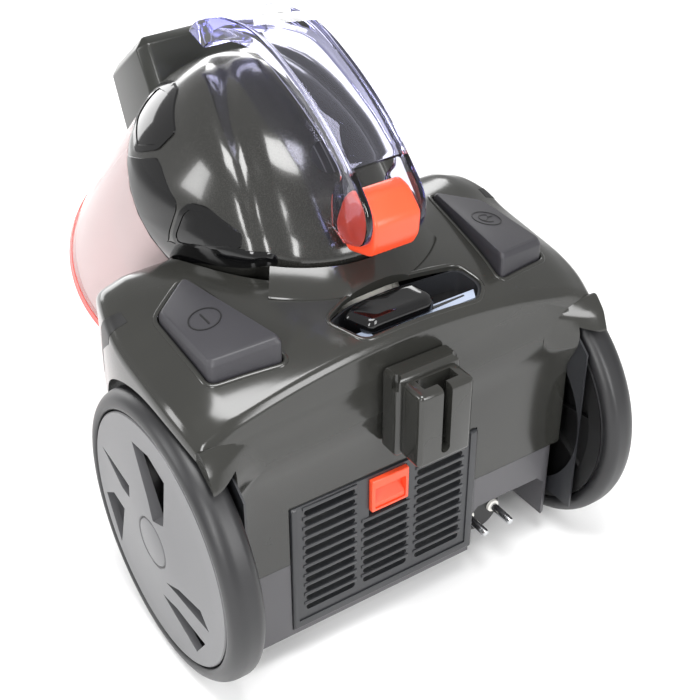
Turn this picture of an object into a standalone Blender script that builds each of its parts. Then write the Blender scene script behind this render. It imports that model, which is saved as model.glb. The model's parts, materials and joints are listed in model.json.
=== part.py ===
"""Canister vacuum cleaner: a wheeled body, a tilted cyclone bin under a domed lid and a clear carry handle.

Sizes are millimetres in a design frame: x runs along the wheel axle, y back from it and z up from the floor.
SHIFT_Y then puts the middle of the cleaner's length at y = 0, and the meshes and locations are in metres.
"""

import math

import bmesh
import bpy
from mathutils import Matrix, Vector

# ---- driving dimensions, millimetres ----
WALL = 2.5
GAP = 0.3
SHIFT_Y = 98.75

# Wheels and caster.
WHEEL_RADIUS = 86.0
TYRE_INNER_X = 116.0
TYRE_WIDTH = 21.0
RIM_RADIUS = WHEEL_RADIUS - 11.0
AXLE_RADIUS = 6.0
WHEEL_WELL_RADIUS = WHEEL_RADIUS + 5.0
CASTER_Y = -222.0
CASTER_TRAIL = 10.0
CASTER_RADIUS = 14.0
CASTER_ROOM_RADIUS = 34.0
STEM_RADIUS = 3.5

# Body.
BODY_REAR_Y = 45.0
BODY_FRONT_Y = -125.0
BODY_SIDE_X = 112.5
SEAM_Z = 73.0
FLOOR_CLEARANCE = 14.0
SHOULDER_DROP = 5.0
COLLAR_HALF_ANGLE = 36.0
# The upper housing's stations, as (y, half width, height at the middle, height towards the sides).
HOUSING_STATIONS = (
    (BODY_REAR_Y, 128.0, 199.0, 177.0), (30.0, 130.5, 204.0, 184.0), (13.0, 132.0, 208.5, 188.0),
    (-12.0, 132.0, 211.5, 191.0), (-40.0, 131.0, 213.0, 195.0), (-60.0, 128.0, 210.0, 202.0),
    (-80.0, 122.5, 204.0, 202.0), (-95.0, 117.0, 194.0, 191.0), (-108.0, 111.0, 180.0, 178.0),
    (-117.0, 106.5, 165.0, 163.0), (-123.0, 103.0, 146.0, 145.0), (BODY_FRONT_Y, 101.0, 122.0, 120.0),
)

# Bin, lid and inlet.
BIN_TILT = math.radians(44.0)
BIN_RADIUS = 77.5
BIN_LENGTH = 159.2
BIN_FOOT_Y = -225.0
BIN_FOOT_Z = 103.0
BIN_CLEARANCE = 3.0
# What follows from them; the points of the lid's fittings below are from its rim's centre, as (y, z).
BIN_AXIS = Vector((0.0, math.sin(BIN_TILT), math.cos(BIN_TILT)))
BIN_START = Vector((0.0, BIN_FOOT_Y, BIN_FOOT_Z))
BIN_BACK = Vector((0.0, math.cos(BIN_TILT), -math.sin(BIN_TILT)))
RIM_CENTRE = BIN_START + BIN_LENGTH * BIN_AXIS
# The lid's ridge, as (angle from straight back, distance from the rim's centre).
DOME_NOSE = 113.0
COLLAR_RISE = 3.5
DOME_RIDGE = (
    (-44.0, BIN_RADIUS), (-25.0, 92.0), (-10.0, 105.0), (2.0, DOME_NOSE), (15.0, 100.0), (30.0, 91.0),
    (45.0, 83.0), (60.0, 76.0), (82.0, 72.0), (108.0, 73.0), (136.0, BIN_RADIUS),
)
SPOUT_HALF_WIDTH = 36.0
SPOUT_TOP = RIM_CENTRE + Vector((0, -72.59, 70.48))
SPOUT_FRONT = RIM_CENTRE + Vector((0, -120.59, 31.48))
HOSE_BORE_RADIUS = 17.5
OUTLET_RADIUS = 15.0
OUTLET_POINT = RIM_CENTRE + Vector((0, 92.41, -28.02))
OUTLET_ANGLE = math.radians(-45.0)
SEAL_WALL = 4.0
SEAL_LENGTH = 7.8
FILTER_RADIUS = 29.0
FILTER_DEPTH = 10.6

# Handle.
HANDLE_HALF_WIDTH = 18.5
HANDLE_WALL = 3.5
BUTTON_HALF_WIDTH = HANDLE_HALF_WIDTH - HANDLE_WALL - 0.5

# Rear panel and plug.
GRILLE_X = (-47.0, 79.0)
GRILLE_Z = (22.0, 113.0)
GRILLE_Y = (40.5, 47.0)
GRILLE_PIVOT = (46.0, 23.0)
SLOT_PITCH = 7.1
SLOT_HEIGHT = 4.2
SLOT_ROWS = 11
SHORT_SLOT_ROWS = 7
LATCH_X = (3.0, 28.0)
LATCH_Z = (88.0, 110.5)
LATCH_TRAVEL = 4.0
PLUG_X = -63.0
PLUG_Z = 33.0
PLUG_RADIUS = 15.5
RECESS_LOW = (-104.0, 0.0, 0.0)
RECESS_HIGH = (PLUG_X + PLUG_RADIUS + 1.5, 60.0, PLUG_Z + PLUG_RADIUS + 1.5)
PIN_SPREAD = 9.5
PIN_RADIUS = 2.4

# Controls, as seen from above.
PEDAL_TRAVEL = 4.0
PEDAL_INNER_X = 83.0
PEDAL_OUTER_X = 107.5
PEDAL_REAR_INNER_X = 69.5
PEDAL_Y = (-53.0, -36.0, 20.0, 30.0)
PEDAL_TOP_Z = 205.5
PEDAL_BOTTOM_Z = 189.0
PEDAL_HOLE_GAP = 0.8
PEDAL_PIN = (92.0, -4.0)
PEDAL_PIN_RADIUS = 2.6
BRACKET_Z = (170.5, 172.8)
SLIDER_TRAVEL = 24.0
SLIDER_OPENING = [(38, 20), (27, 39), (-48, 39), (-56, 30), (-50, 14.5), (-10, 11), (20, 12)]
SLIDER_TRAY = [(41, 20), (29, 41.5), (-51, 41.5), (-60, 30), (-53, 12), (-10, 8.5), (22, 9.5)]
SLIDER_KNOB = [(29, 21), (21, 36), (-18, 36), (-23, 31), (-20, 16), (-2, 14), (19, 15)]
TRAY_Z = (188.0, 190.5)
KNOB_Z = (191.0, 207.0)
STEM_X = (1.0, 11.0)

# Motor and cord reel.
MOTOR_X = 38.0
MOTOR_Z = 88.0
MOTOR_HOUSING_RADIUS = 53.5
SHAFT_RADIUS = 4.0
REEL_X = -94.0
REEL_Y = -15.0
REEL_RADIUS = 48.0
REEL_Z = RECESS_HIGH[2] + REEL_RADIUS + 2.0
REEL_WIDTH = 43.0
REEL_AXLE_RADIUS = 8.0

# What follows from them.
OUTLET_DIRECTION = Vector((0.0, math.cos(OUTLET_ANGLE), math.sin(OUTLET_ANGLE)))
PORT_DIRECTION = Vector((0, SPOUT_FRONT.z - SPOUT_TOP.z, SPOUT_TOP.y - SPOUT_FRONT.y)).normalized()
CASTER_WHEEL_Y = CASTER_Y + CASTER_TRAIL


# ---- building tools ----
def to_metres(point):
    return Vector((point[0], point[1] + SHIFT_Y, point[2])) / 1000.0


def solid(name, points, faces):
    """One closed body from points in the design frame."""
    mesh = bpy.data.meshes.new(name)
    mesh.from_pydata([to_metres(p) for p in points], [], faces)
    shape = bmesh.new()
    shape.from_mesh(mesh)
    bmesh.ops.remove_doubles(shape, verts=shape.verts, dist=1e-7)
    bmesh.ops.triangulate(shape, faces=shape.faces)
    bmesh.ops.recalc_face_normals(shape, faces=shape.faces)
    shape.to_mesh(mesh)
    shape.free()
    obj = bpy.data.objects.new(name, mesh)
    bpy.context.scene.collection.objects.link(obj)
    return obj


def loft(name, rings, closed=False):
    """A skin over rings of equal length, with a cap on each end, or closed into a loop."""
    count = len(rings[0])
    points = [p for ring in rings for p in ring]
    faces = []
    for i in range(len(rings) if closed else len(rings) - 1):
        a, b = i * count, ((i + 1) % len(rings)) * count
        faces += [(a + j, a + (j + 1) % count, b + (j + 1) % count, b + j) for j in range(count)]
    if not closed:
        last = (len(rings) - 1) * count
        faces += [tuple(range(count)), tuple(last + j for j in reversed(range(count)))]
    return solid(name, points, faces)


def prism(name, outline, axis, start, end):
    """The outline, as points of the two other axes in order, swept along x, y or z."""
    put = {
        "x": lambda s, u, v: (s, u, v),
        "y": lambda s, u, v: (u, s, v),
        "z": lambda s, u, v: (u, v, s),
    }[axis]
    return loft(name, [[put(s, u, v) for u, v in outline] for s in (start, end)])


def block(name, low, high):
    corners = [(low[0], low[1]), (high[0], low[1]), (high[0], high[1]), (low[0], high[1])]
    return prism(name, corners, "z", low[2], high[2])


def across(direction):
    """Two unit vectors at right angles to the direction."""
    side = Vector((1, 0, 0)) if abs(direction.x) < 0.9 else Vector((0, 1, 0))
    first = direction.cross(side).normalized()
    return first, direction.cross(first).normalized()


def turned(name, profile, centre, direction, steps=32):
    """A closed profile of (radius, distance along the axis) turned about the axis."""
    direction = Vector(direction).normalized()
    centre = Vector(centre)
    u, v = across(direction)
    rings = []
    for k in range(steps):
        a = 2 * math.pi * k / steps
        out = math.cos(a) * u + math.sin(a) * v
        rings.append([centre + r * out + s * direction for r, s in profile])
    if min(r for r, _ in profile) > 0:
        return loft(name, rings, closed=True)
    points = [p for ring in rings for p in ring]
    count = len(profile)
    faces = []
    for k in range(steps):
        a, b = k * count, ((k + 1) % steps) * count
        for j in range(count - 1):
            if profile[j][0] == 0 and profile[j + 1][0] == 0:
                continue
            face = [a + j, a + j + 1, b + j + 1, b + j]
            if profile[j][0] == 0:
                face = [a + j, a + j + 1, b + j + 1]
            elif profile[j + 1][0] == 0:
                face = [a + j, a + j + 1, b + j]
            faces.append(tuple(face))
    return solid(name, points, faces)


def rod(name, radius, start, end, steps=32):
    start, end = Vector(start), Vector(end)
    length = (end - start).length
    return turned(name, [(0, 0), (radius, 0), (radius, length), (0, length)], start, end - start, steps)


def pipe(name, inner, outer, start, end, steps=32):
    start, end = Vector(start), Vector(end)
    length = (end - start).length
    return turned(
        name, [(inner, 0), (outer, 0), (outer, length), (inner, length)], start, end - start, steps
    )


def combine(target, operation, others):
    """Applies booleans to the target and removes the other objects.

    The exact solver leaves open edges where the lofted housing meets the round bin space; MANIFOLD doesn't.
    """
    for other in others:
        modifier = target.modifiers.new(operation, "BOOLEAN")
        modifier.operation = operation
        modifier.solver = "MANIFOLD"
        modifier.object = other
        graph = bpy.context.evaluated_depsgraph_get()
        mesh = bpy.data.meshes.new_from_object(target.evaluated_get(graph))
        target.modifiers.clear()
        target.data = mesh
        bpy.data.objects.remove(other)
    return target


def cut(target, *others):
    return combine(target, "DIFFERENCE", others)


def joined(target, *others):
    return combine(target, "UNION", others)


def kept(target, *others):
    return combine(target, "INTERSECT", others)


def slab_group(name, boxes):
    """Separate boxes in one mesh, to cut a row of slots at once."""
    points, faces = [], []
    for low, high in boxes:
        n = len(points)
        points += [(x, y, z) for z in (low[2], high[2]) for y in (low[1], high[1]) for x in (low[0], high[0])]
        sides = ((0, 2, 3, 1), (4, 5, 7, 6), (0, 1, 5, 4), (2, 6, 7, 3), (0, 4, 6, 2), (1, 3, 7, 5))
        faces += [tuple(n + i for i in side) for side in sides]
    return solid(name, points, faces)


# ---- shared shapes ----
def smooth_value(table, at):
    """A cubic through the table's points, level with its neighbours' slope."""
    keys = [k for k, _ in table]
    values = [v for _, v in table]
    if at <= keys[0]:
        return values[0]
    if at >= keys[-1]:
        return values[-1]
    i = max(n for n, k in enumerate(keys) if k <= at)
    i = min(i, len(keys) - 2)

    def slope(n):
        lo, hi = max(n - 1, 0), min(n + 1, len(keys) - 1)
        return (values[hi] - values[lo]) / (keys[hi] - keys[lo])

    span = keys[i + 1] - keys[i]
    t = (at - keys[i]) / span
    a, b = values[i], values[i + 1]
    c, d = slope(i) * span, slope(i + 1) * span
    return a + c * t + (3 * (b - a) - 2 * c - d) * t * t + (2 * (a - b) + c + d) * t**3


def from_rim(points):
    return [(RIM_CENTRE.y + y, RIM_CENTRE.z + z) for y, z in points]


def dome_point(angle, turn, grow):
    """A point of the lid: angle about the rim's centre, turn from the left pole (0) to the right (pi)."""
    reach = (smooth_value(DOME_RIDGE, math.degrees(angle)) + grow) * math.sin(turn)
    across_x = (BIN_RADIUS + grow) * math.cos(turn)
    return RIM_CENTRE + Vector((across_x, reach * math.cos(angle), reach * math.sin(angle)))


def dome_grid(grow, rows, columns):
    first, last = math.radians(DOME_RIDGE[0][0]), math.radians(DOME_RIDGE[-1][0])
    return [
        [
            dome_point(first + (last - first) * i / rows, math.pi * j / columns, grow)
            for j in range(columns + 1)
        ]
        for i in range(rows + 1)
    ]


def grid_faces(rows, columns, start, flip=False):
    faces = []
    for i in range(rows):
        for j in range(columns):
            a = start + i * (columns + 1) + j
            face = (a, a + 1, a + columns + 2, a + columns + 1)
            faces.append(face[::-1] if flip else face)
    return faces


def dome_shell(name, outer, inner, rows=14, columns=14):
    """The lid between two offsets of its surface. Without an inner one it is solid."""
    points = [p for row in dome_grid(outer, rows, columns) for p in row]
    faces = grid_faces(rows, columns, 0)
    last = rows * (columns + 1)
    if inner is None:
        ring = list(range(columns + 1)) + [last + j for j in range(columns - 1, 0, -1)]
        faces.append(tuple(ring))
        return solid(name, points, faces)
    second = len(points)
    points += [p for row in dome_grid(inner, rows, columns) for p in row]
    faces += grid_faces(rows, columns, second, flip=True)
    for edge in (0, last):
        faces += [(edge + j, edge + j + 1, second + edge + j + 1, second + edge + j) for j in range(columns)]
    return solid(name, points, faces)


def bin_space(name, grow):
    """What the bin and its lid fill, grown on every side: the shape that the body leaves free."""
    tube_ends = BIN_START - (8 + grow) * BIN_AXIS, RIM_CENTRE + 5 * BIN_AXIS
    tube = rod(name, BIN_RADIUS + grow - 0.4, *tube_ends, 28)
    return joined(tube, dome_shell("lid_space", grow, None))


def housing_block(name, inset, floor_z, rear_y, front_y):
    """The upper housing's outer shape, made smaller on each side by the inset."""
    stations = [s for s in HOUSING_STATIONS if front_y < s[0] < rear_y]
    table_w = [(s[0], s[1]) for s in reversed(HOUSING_STATIONS)]
    table_z = [(s[0], s[2]) for s in reversed(HOUSING_STATIONS)]
    table_side = [(s[0], s[3]) for s in reversed(HOUSING_STATIONS)]
    ys = [rear_y] + [s[0] for s in stations] + [front_y]
    rings = []
    for y in ys:
        half = smooth_value(table_w, y) - inset
        top = smooth_value(table_z, y) - inset
        side = smooth_value(table_side, y) - inset
        across_x = [half * k / 7 for k in range(-6, 7)]
        ridge = [(x, y, top + (side - top) * (x / half) ** 2) for x in across_x]
        edge = side - SHOULDER_DROP
        rings.append([(-half, y, floor_z), (-half, y, edge)] + ridge + [(half, y, edge), (half, y, floor_z)])
    return loft(name, rings)


def wheel_wells(grow):
    """Two discs over the wheels, outside the body's sides."""
    reach = WHEEL_WELL_RADIUS + grow
    return [
        rod("well", reach, (side * (BODY_SIDE_X - grow), 0, WHEEL_RADIUS), (side * 150, 0, WHEEL_RADIUS), 40)
        for side in (1, -1)
    ]


def chassis_block(name, inset, top_z):
    """The base's outer shape: its plan swept up, kept inside its side view."""
    plan = [
        (-106 + inset, 45 - inset), (106 - inset, 45 - inset), (BODY_SIDE_X - inset, 38 - inset),
        (BODY_SIDE_X - inset, -92), (100 - inset, -125), (76 - inset, -190), (54 - inset, -248 + inset),
        (44 - inset, -258 + inset), (-44 + inset, -258 + inset), (-54 + inset, -248 + inset),
        (-76 + inset, -190), (-100 + inset, -125), (-BODY_SIDE_X + inset, -92),
        (-BODY_SIDE_X + inset, 38 - inset),
    ]
    low = FLOOR_CLEARANCE + inset
    side = [
        (60, low + 4), (-100, low), (-240, low), (-270, low + 12), (-270, 40 - inset), (-166, 40 - inset),
        (-125, top_z), (60, top_z),
    ]
    return kept(prism(name, plan, "z", low, 100), prism("side", side, "x", -140, 140))


def pedal_outline(side, grow):
    """A pedal's four corners seen from above, front inner corner first."""
    front, front_outer, rear_outer, rear = PEDAL_Y
    corners = [
        (PEDAL_INNER_X - grow, front - grow), (PEDAL_OUTER_X + grow, front_outer - grow),
        (PEDAL_OUTER_X + grow, rear_outer + grow), (PEDAL_REAR_INNER_X - grow, rear + grow),
    ]
    return [(side * x, y) for x, y in corners]


def pedal_top(x):
    return PEDAL_TOP_Z + (PEDAL_OUTER_X - abs(x)) * 0.2


# ---- body ----
def make_upper_housing():
    housing = housing_block("upper_housing", 0.0, SEAM_Z + GAP, BODY_REAR_Y, BODY_FRONT_Y)
    collar_rings = []
    for k in range(13):
        a = math.radians(COLLAR_HALF_ANGLE * (k - 6) / 6)
        ring = []
        top = RIM_CENTRE.z + COLLAR_RISE
        for grow, z in ((-6, 190), (-6, top), (2.5, top), (16, top - 12), (16, 190)):
            ring.append((
                (BIN_RADIUS + grow) * math.sin(a),
                RIM_CENTRE.y + (DOME_NOSE + grow) * math.cos(a),
                z,
            ))
        collar_rings.append(ring)
    tabs = []
    for side in (1, -1):
        profile = [(40, 172), (45, 176), (53, 168), (58, 156), (57, 148), (45, 128), (40, 128)]
        rings = [
            [(side * x, 40 + (y - 40) * reach, z) for y, z in profile]
            for x, reach in ((92, 0.3), (129, 1.0))
        ]
        tabs.append(loft("tab", rings[::side]))
    joined(housing, loft("collar", collar_rings), *tabs)
    room = housing_block("room", WALL, SEAM_Z - 6, BODY_REAR_Y - WALL, BODY_FRONT_Y + WALL)
    cut(room, bin_space("trough", BIN_CLEARANCE + WALL), *wheel_wells(WALL))
    cut(housing, room, bin_space("opening", BIN_CLEARANCE), *wheel_wells(0.0))
    for side in (1, -1):
        cut(housing, prism("pedal_hole", pedal_outline(side, PEDAL_HOLE_GAP), "z", 170, 230))
        axle_ends = (side * 100, 0, WHEEL_RADIUS), (side * 118, 0, WHEEL_RADIUS)
        cut(housing, rod("axle_hole", AXLE_RADIUS + 1.5, *axle_ends))
    cut(housing, prism("slider_hole", SLIDER_OPENING, "z", 185, 220))
    hole_high = (GRILLE_X[1] + GAP, 60, GRILLE_Z[1] + GAP)
    cut(housing, block("grille_hole", (GRILLE_X[0] - GAP, 38, 60), hole_high))
    outlet_ends = [OUTLET_POINT + d * OUTLET_DIRECTION for d in (-8, 12)]
    cut(housing, rod("outlet", OUTLET_RADIUS + SEAL_WALL + 1 + GAP, *outlet_ends))


def make_base_chassis():
    base = chassis_block("base_chassis", 0.0, SEAM_Z)
    room = chassis_block("base_room", WALL, 90.0)
    pocket = rod("pocket", CASTER_ROOM_RADIUS + WALL, (0, CASTER_Y, 0), (0, CASTER_Y, 90), 40)
    low, high = RECESS_LOW, RECESS_HIGH
    recess_wall = block(
        "recess_wall", (low[0] - WALL, low[1] - WALL, low[2]), (high[0] + WALL, high[1], high[2] + WALL)
    )
    cut(room, bin_space("base_trough", BIN_CLEARANCE + WALL), pocket, recess_wall)
    pillars = []
    for side in (1, -1):
        xs = (side * (BODY_SIDE_X - 15.5), side * (BODY_SIDE_X - 3.5))
        top_z = max(WHEEL_RADIUS, REEL_Z) + 12
        pillars.append(block("pillar", (min(xs), REEL_Y - 13, FLOOR_CLEARANCE + 1), (max(xs), 14, top_z)))
    cut(base, room)
    joined(base, *pillars)
    cut(base, bin_space("base_opening", BIN_CLEARANCE))
    cut(base, rod("caster_room", CASTER_ROOM_RADIUS, (0, CASTER_Y, 0), (0, CASTER_Y, 35), 40))
    cut(base, rod("stem_hole", STEM_RADIUS + GAP, (0, CASTER_Y, 30), (0, CASTER_Y, 41), 24))
    for side in (1, -1):
        seat_ends = (side * 90, 0, WHEEL_RADIUS), (side * 120, 0, WHEEL_RADIUS)
        cut(base, rod("axle_seat", AXLE_RADIUS + GAP, *seat_ends))
    cut(base, rod("reel_seat", REEL_AXLE_RADIUS + GAP, (-115, REEL_Y, REEL_Z), (-90, REEL_Y, REEL_Z), 24))
    cut(base, block("recess", low, high))
    cut(base, block("grille_notch", (GRILLE_X[0] - GAP, 38, GRILLE_Z[0] - GAP), (GRILLE_X[1] + GAP, 60, 90)))
    cut(base, rod("cord_hole", 5.0, (PLUG_X, low[1] - 8, PLUG_Z), (PLUG_X, low[1] + 6, PLUG_Z), 24))


def make_parking_socket():
    back = prism("parking_socket", [(-21, 132), (21, 132), (21, 184), (-21, 184)], "y", BODY_REAR_Y + GAP, 60)
    front = block("socket_front", (-17.5, 59, 133), (17.5, 76, 181))
    joined(back, front)
    cut(back, block("rib_slot", (-2.8, 66, 139), (2.8, 90, 200)))
    cut(back, block("rib_room", (-11, 62, 139), (11, 70, 200)))


def make_rear_grille():
    panel_ends = [(GRILLE_X[k], GRILLE_Y[k], GRILLE_Z[k]) for k in (0, 1)]
    panel = block("rear_grille", *panel_ends)
    slots = []
    for k in range(SLOT_ROWS):
        z = GRILLE_Z[0] + 12 + SLOT_PITCH * k
        columns = [(37.5, 70.5), (-36.5, -4.5)]
        if k < SHORT_SLOT_ROWS:
            columns.append((1.5, 32.0))
        slots += [((x0, 38, z), (x1, 50, z + SLOT_HEIGHT)) for x0, x1 in columns]
    cut(panel, slab_group("slots", slots))
    hole_low = (LATCH_X[0] - GAP, 38, LATCH_Z[0] - LATCH_TRAVEL - GAP)
    cut(panel, block("latch_hole", hole_low, (LATCH_X[1] + GAP, 50, LATCH_Z[1] + GAP)))
    latch = block(
        "grille_latch", (LATCH_X[0], GRILLE_Y[0] + 1, LATCH_Z[0]), (LATCH_X[1], GRILLE_Y[1] + 2, LATCH_Z[1])
    )
    dip_low = (LATCH_X[0] + 3, GRILLE_Y[1] - 2, LATCH_Z[0] + 4)
    cut(latch, block("finger_dip", dip_low, (LATCH_X[1] - 3, 55, LATCH_Z[0] + 16)))
    block(
        "exhaust_filter",
        (GRILLE_X[0] + 7, GRILLE_Y[0] - 12.5, GRILLE_Z[0] + 8),
        (GRILLE_X[1] - 7, GRILLE_Y[0] - 1, GRILLE_Z[1] - 5),
    )


# ---- controls ----
def make_controls():
    for side, name in ((1, "power"), (-1, "rewind")):
        outline = pedal_outline(side, 0.0)
        low = [(x, y, PEDAL_BOTTOM_Z) for x, y in outline]
        high = [(x, y, pedal_top(x)) for x, y in outline]
        pedal = loft(f"{name}_pedal", [low, high])
        x, y = side * PEDAL_PIN[0], PEDAL_PIN[1]
        pin_ends = (x, y, BRACKET_Z[0] - 3.5), (x, y, PEDAL_BOTTOM_Z + 6)
        joined(pedal, rod("pedal_pin", PEDAL_PIN_RADIUS, *pin_ends, 20))
        spring_ends = (x, y, BRACKET_Z[1] + GAP), (x, y, PEDAL_BOTTOM_Z - GAP)
        pipe(f"{name}_spring", 5.0, 6.5, *spring_ends, 20)
        xs = (side * (PEDAL_REAR_INNER_X + 0.5), side * (PEDAL_OUTER_X - 0.5))
        low = (min(xs), PEDAL_Y[0] + 3, BRACKET_Z[0])
        bracket = block(f"{name}_bracket", low, (max(xs), PEDAL_Y[3] - 3, BRACKET_Z[1]))
        cut(bracket, rod("pin_hole", PEDAL_PIN_RADIUS + GAP, (x, y, 160), (x, y, 180), 20))
    switch_top = PEDAL_BOTTOM_Z - PEDAL_TRAVEL - GAP
    block("power_switch", (76, 8, BRACKET_Z[1] + GAP), (98, 26, switch_top))
    tray = prism("slider_tray", SLIDER_TRAY, "z", *TRAY_Z)
    slot_low = (STEM_X[0] - SLIDER_TRAVEL - 1, 26, 180)
    cut(tray, block("tray_slot", slot_low, (STEM_X[1] + 1, 30, 200)))
    knob = prism("power_slider", SLIDER_KNOB, "z", *KNOB_Z)
    joined(knob, block("slider_stem", (STEM_X[0], 26.5, TRAY_Z[0] - 5), (STEM_X[1], 29.5, KNOB_Z[0] + 4)))
    block("control_board", (-40, 14, TRAY_Z[0] - 8), (30, 40, TRAY_Z[0] - 6.4))


# ---- motor, reel and filters ----
def make_motor():
    def at(y):
        return (MOTOR_X, y, MOTOR_Z)

    radius = MOTOR_HOUSING_RADIUS
    bore = SHAFT_RADIUS + GAP
    back = (0, 1, 0)
    pipe("motor_housing", radius - WALL, radius, at(-62), at(24), 32)
    core = [(bore, 0), (34, 0), (34, 6), (46, 6), (46, 50), (30, 62), (bore, 62)]
    turned("fan_motor", core, at(-44), back, 24)
    rod("motor_shaft", SHAFT_RADIUS, at(-62), at(22), 20)
    turned("motor_fan", [(bore, 0), (18, 0), (46, 5), (46, 12), (bore, 12)], at(-59), back, 24)
    pipe("motor_mount", 46 + GAP, radius - WALL - GAP, at(-20), at(-10), 24)


def make_reel():
    def at(x):
        return (x, REEL_Y, REEL_Z)

    bore, drum, outer, width = REEL_AXLE_RADIUS + GAP, 22.0, REEL_RADIUS, REEL_WIDTH
    flange = 2.0
    profile = [
        (bore, 0), (outer, 0), (outer, flange), (drum, flange), (drum, width - flange),
        (outer, width - flange), (outer, width), (bore, width),
    ]
    turned("cord_reel", profile, at(REEL_X), (1, 0, 0), 32)
    cord_ends = at(REEL_X + flange + GAP), at(REEL_X + width - flange - GAP)
    pipe("wound_cord", drum + GAP, outer - 6, *cord_ends, 32)
    rod("reel_axle", REEL_AXLE_RADIUS, at(REEL_X - 14.5), at(REEL_X + width + 2), 24)


def make_filter_and_seal():
    start = BIN_CLEARANCE - 1.8
    seal_ends = [OUTLET_POINT + d * OUTLET_DIRECTION for d in (start, start + SEAL_LENGTH)]
    pipe("outlet_seal", OUTLET_RADIUS + 1, OUTLET_RADIUS + SEAL_WALL + 1, *seal_ends, 24)
    start += SEAL_LENGTH + GAP + 0.1
    filter_ends = [OUTLET_POINT + d * OUTLET_DIRECTION for d in (start, start + FILTER_DEPTH)]
    rod("motor_filter", FILTER_RADIUS, *filter_ends, 24)


def make_plug():
    start = RECESS_LOW[1] + 2
    profile = [(0, 0), (5, 0), (9, 6), (PLUG_RADIUS, 14), (PLUG_RADIUS, 32), (0, 32)]
    turned("mains_plug", profile, (PLUG_X, start, PLUG_Z), (0, 1, 0), 32)
    for side, word in ((1, "left"), (-1, "right")):
        x = PLUG_X + side * PIN_SPREAD
        rod(f"plug_pin_{word}", PIN_RADIUS, (x, start + 32 + GAP, PLUG_Z), (x, start + 51, PLUG_Z), 16)


# ---- wheels ----
# The rim's windows between its swept spokes, as (angle up from straight back, radius on a 75 mm rim).
RIM_WINDOWS = (
    ((57, 27), (72, 57), (90, 60), (109, 60), (78, 19)),
    ((143, 34), (161, 68), (164, 40), (158, 30)),
    ((185, 54), (192, 68), (219, 68), (204, 48), (188, 39)),
    ((275, 38), (305, 66), (323, 62), (300, 40)),
    ((300, 24), (338, 60), (346, 50), (330, 30)),
)


def make_wheels():
    for side, word in ((1, "left"), (-1, "right")):
        def at(x):
            return (side * x, 0, WHEEL_RADIUS)

        along = (side, 0, 0)
        outer, width = WHEEL_RADIUS, TYRE_WIDTH
        turned(
            f"{word}_tyre",
            [(RIM_RADIUS + GAP, 1.5), (RIM_RADIUS + 4, 0), (outer - 3, 1), (outer, 5), (outer, width - 9),
             (outer - 2, width - 4), (outer - 5, width - 1), (RIM_RADIUS + 3, width),
             (RIM_RADIUS + GAP, width - 2)],
            at(TYRE_INNER_X), along, 32,
        )
        ring = RIM_RADIUS - 9
        rim = turned(
            f"{word}_rim",
            [(AXLE_RADIUS + GAP, 2), (12, 2), (12, 12), (ring, 6), (ring, 2), (RIM_RADIUS, 2),
             (RIM_RADIUS, 18), (ring + 4, 18), (ring + 2, 14), (24, 19), (16, 19), (AXLE_RADIUS + GAP, 19)],
            at(TYRE_INNER_X), along, 32,
        )
        holes = []
        scale = RIM_RADIUS / 75.0
        for outline in RIM_WINDOWS:
            window = [
                (scale * r * math.cos(math.radians(a)), WHEEL_RADIUS + scale * r * math.sin(math.radians(a)))
                for a, r in outline
            ]
            xs = (side * 110, side * 145)
            holes.append(prism("window", window, "x", min(xs), max(xs)))
        cut(rim, *holes)
        turned(f"{word}_hub_cap", [(0, 0), (15, 0), (15, 2.5), (13, 4.5), (0, 5)], at(135.3), along, 32)
        rod(f"{word}_axle", AXLE_RADIUS, at(97.5), at(134.5), 24)


def make_caster():
    wheel_y, wheel_z = CASTER_WHEEL_Y, CASTER_RADIUS
    turned(
        "caster_wheel",
        [(2 + GAP, -6), (10, -6), (CASTER_RADIUS - 1, -5), (CASTER_RADIUS, -3), (CASTER_RADIUS, 3),
         (CASTER_RADIUS - 1, 5), (10, 6), (2 + GAP, 6)],
        (0, wheel_y, wheel_z), (1, 0, 0), 32,
    )
    rod("caster_axle", 2.0, (-8.5, wheel_y, wheel_z), (8.5, wheel_y, wheel_z), 16)
    fork = rod("caster_fork", 13.0, (0, CASTER_Y, 29.5), (0, CASTER_Y, 34), 32)
    joined(fork, rod("stem", STEM_RADIUS, (0, CASTER_Y, 30), (0, CASTER_Y, 39.5), 24))
    for side in (1, -1):
        xs = (side * 6.6, side * 9.4)
        cheek = [(CASTER_Y - 8, 33), (CASTER_Y + 8, 33), (CASTER_Y + 15, 12), (CASTER_Y + 5, 10)]
        joined(fork, prism("cheek", cheek, "x", min(xs), max(xs)))
    cut(fork, rod("axle_bore", 2 + GAP, (-12, wheel_y, wheel_z), (12, wheel_y, wheel_z), 16))


# ---- bin ----
def along_bin(distance):
    return BIN_START + distance * BIN_AXIS


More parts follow.
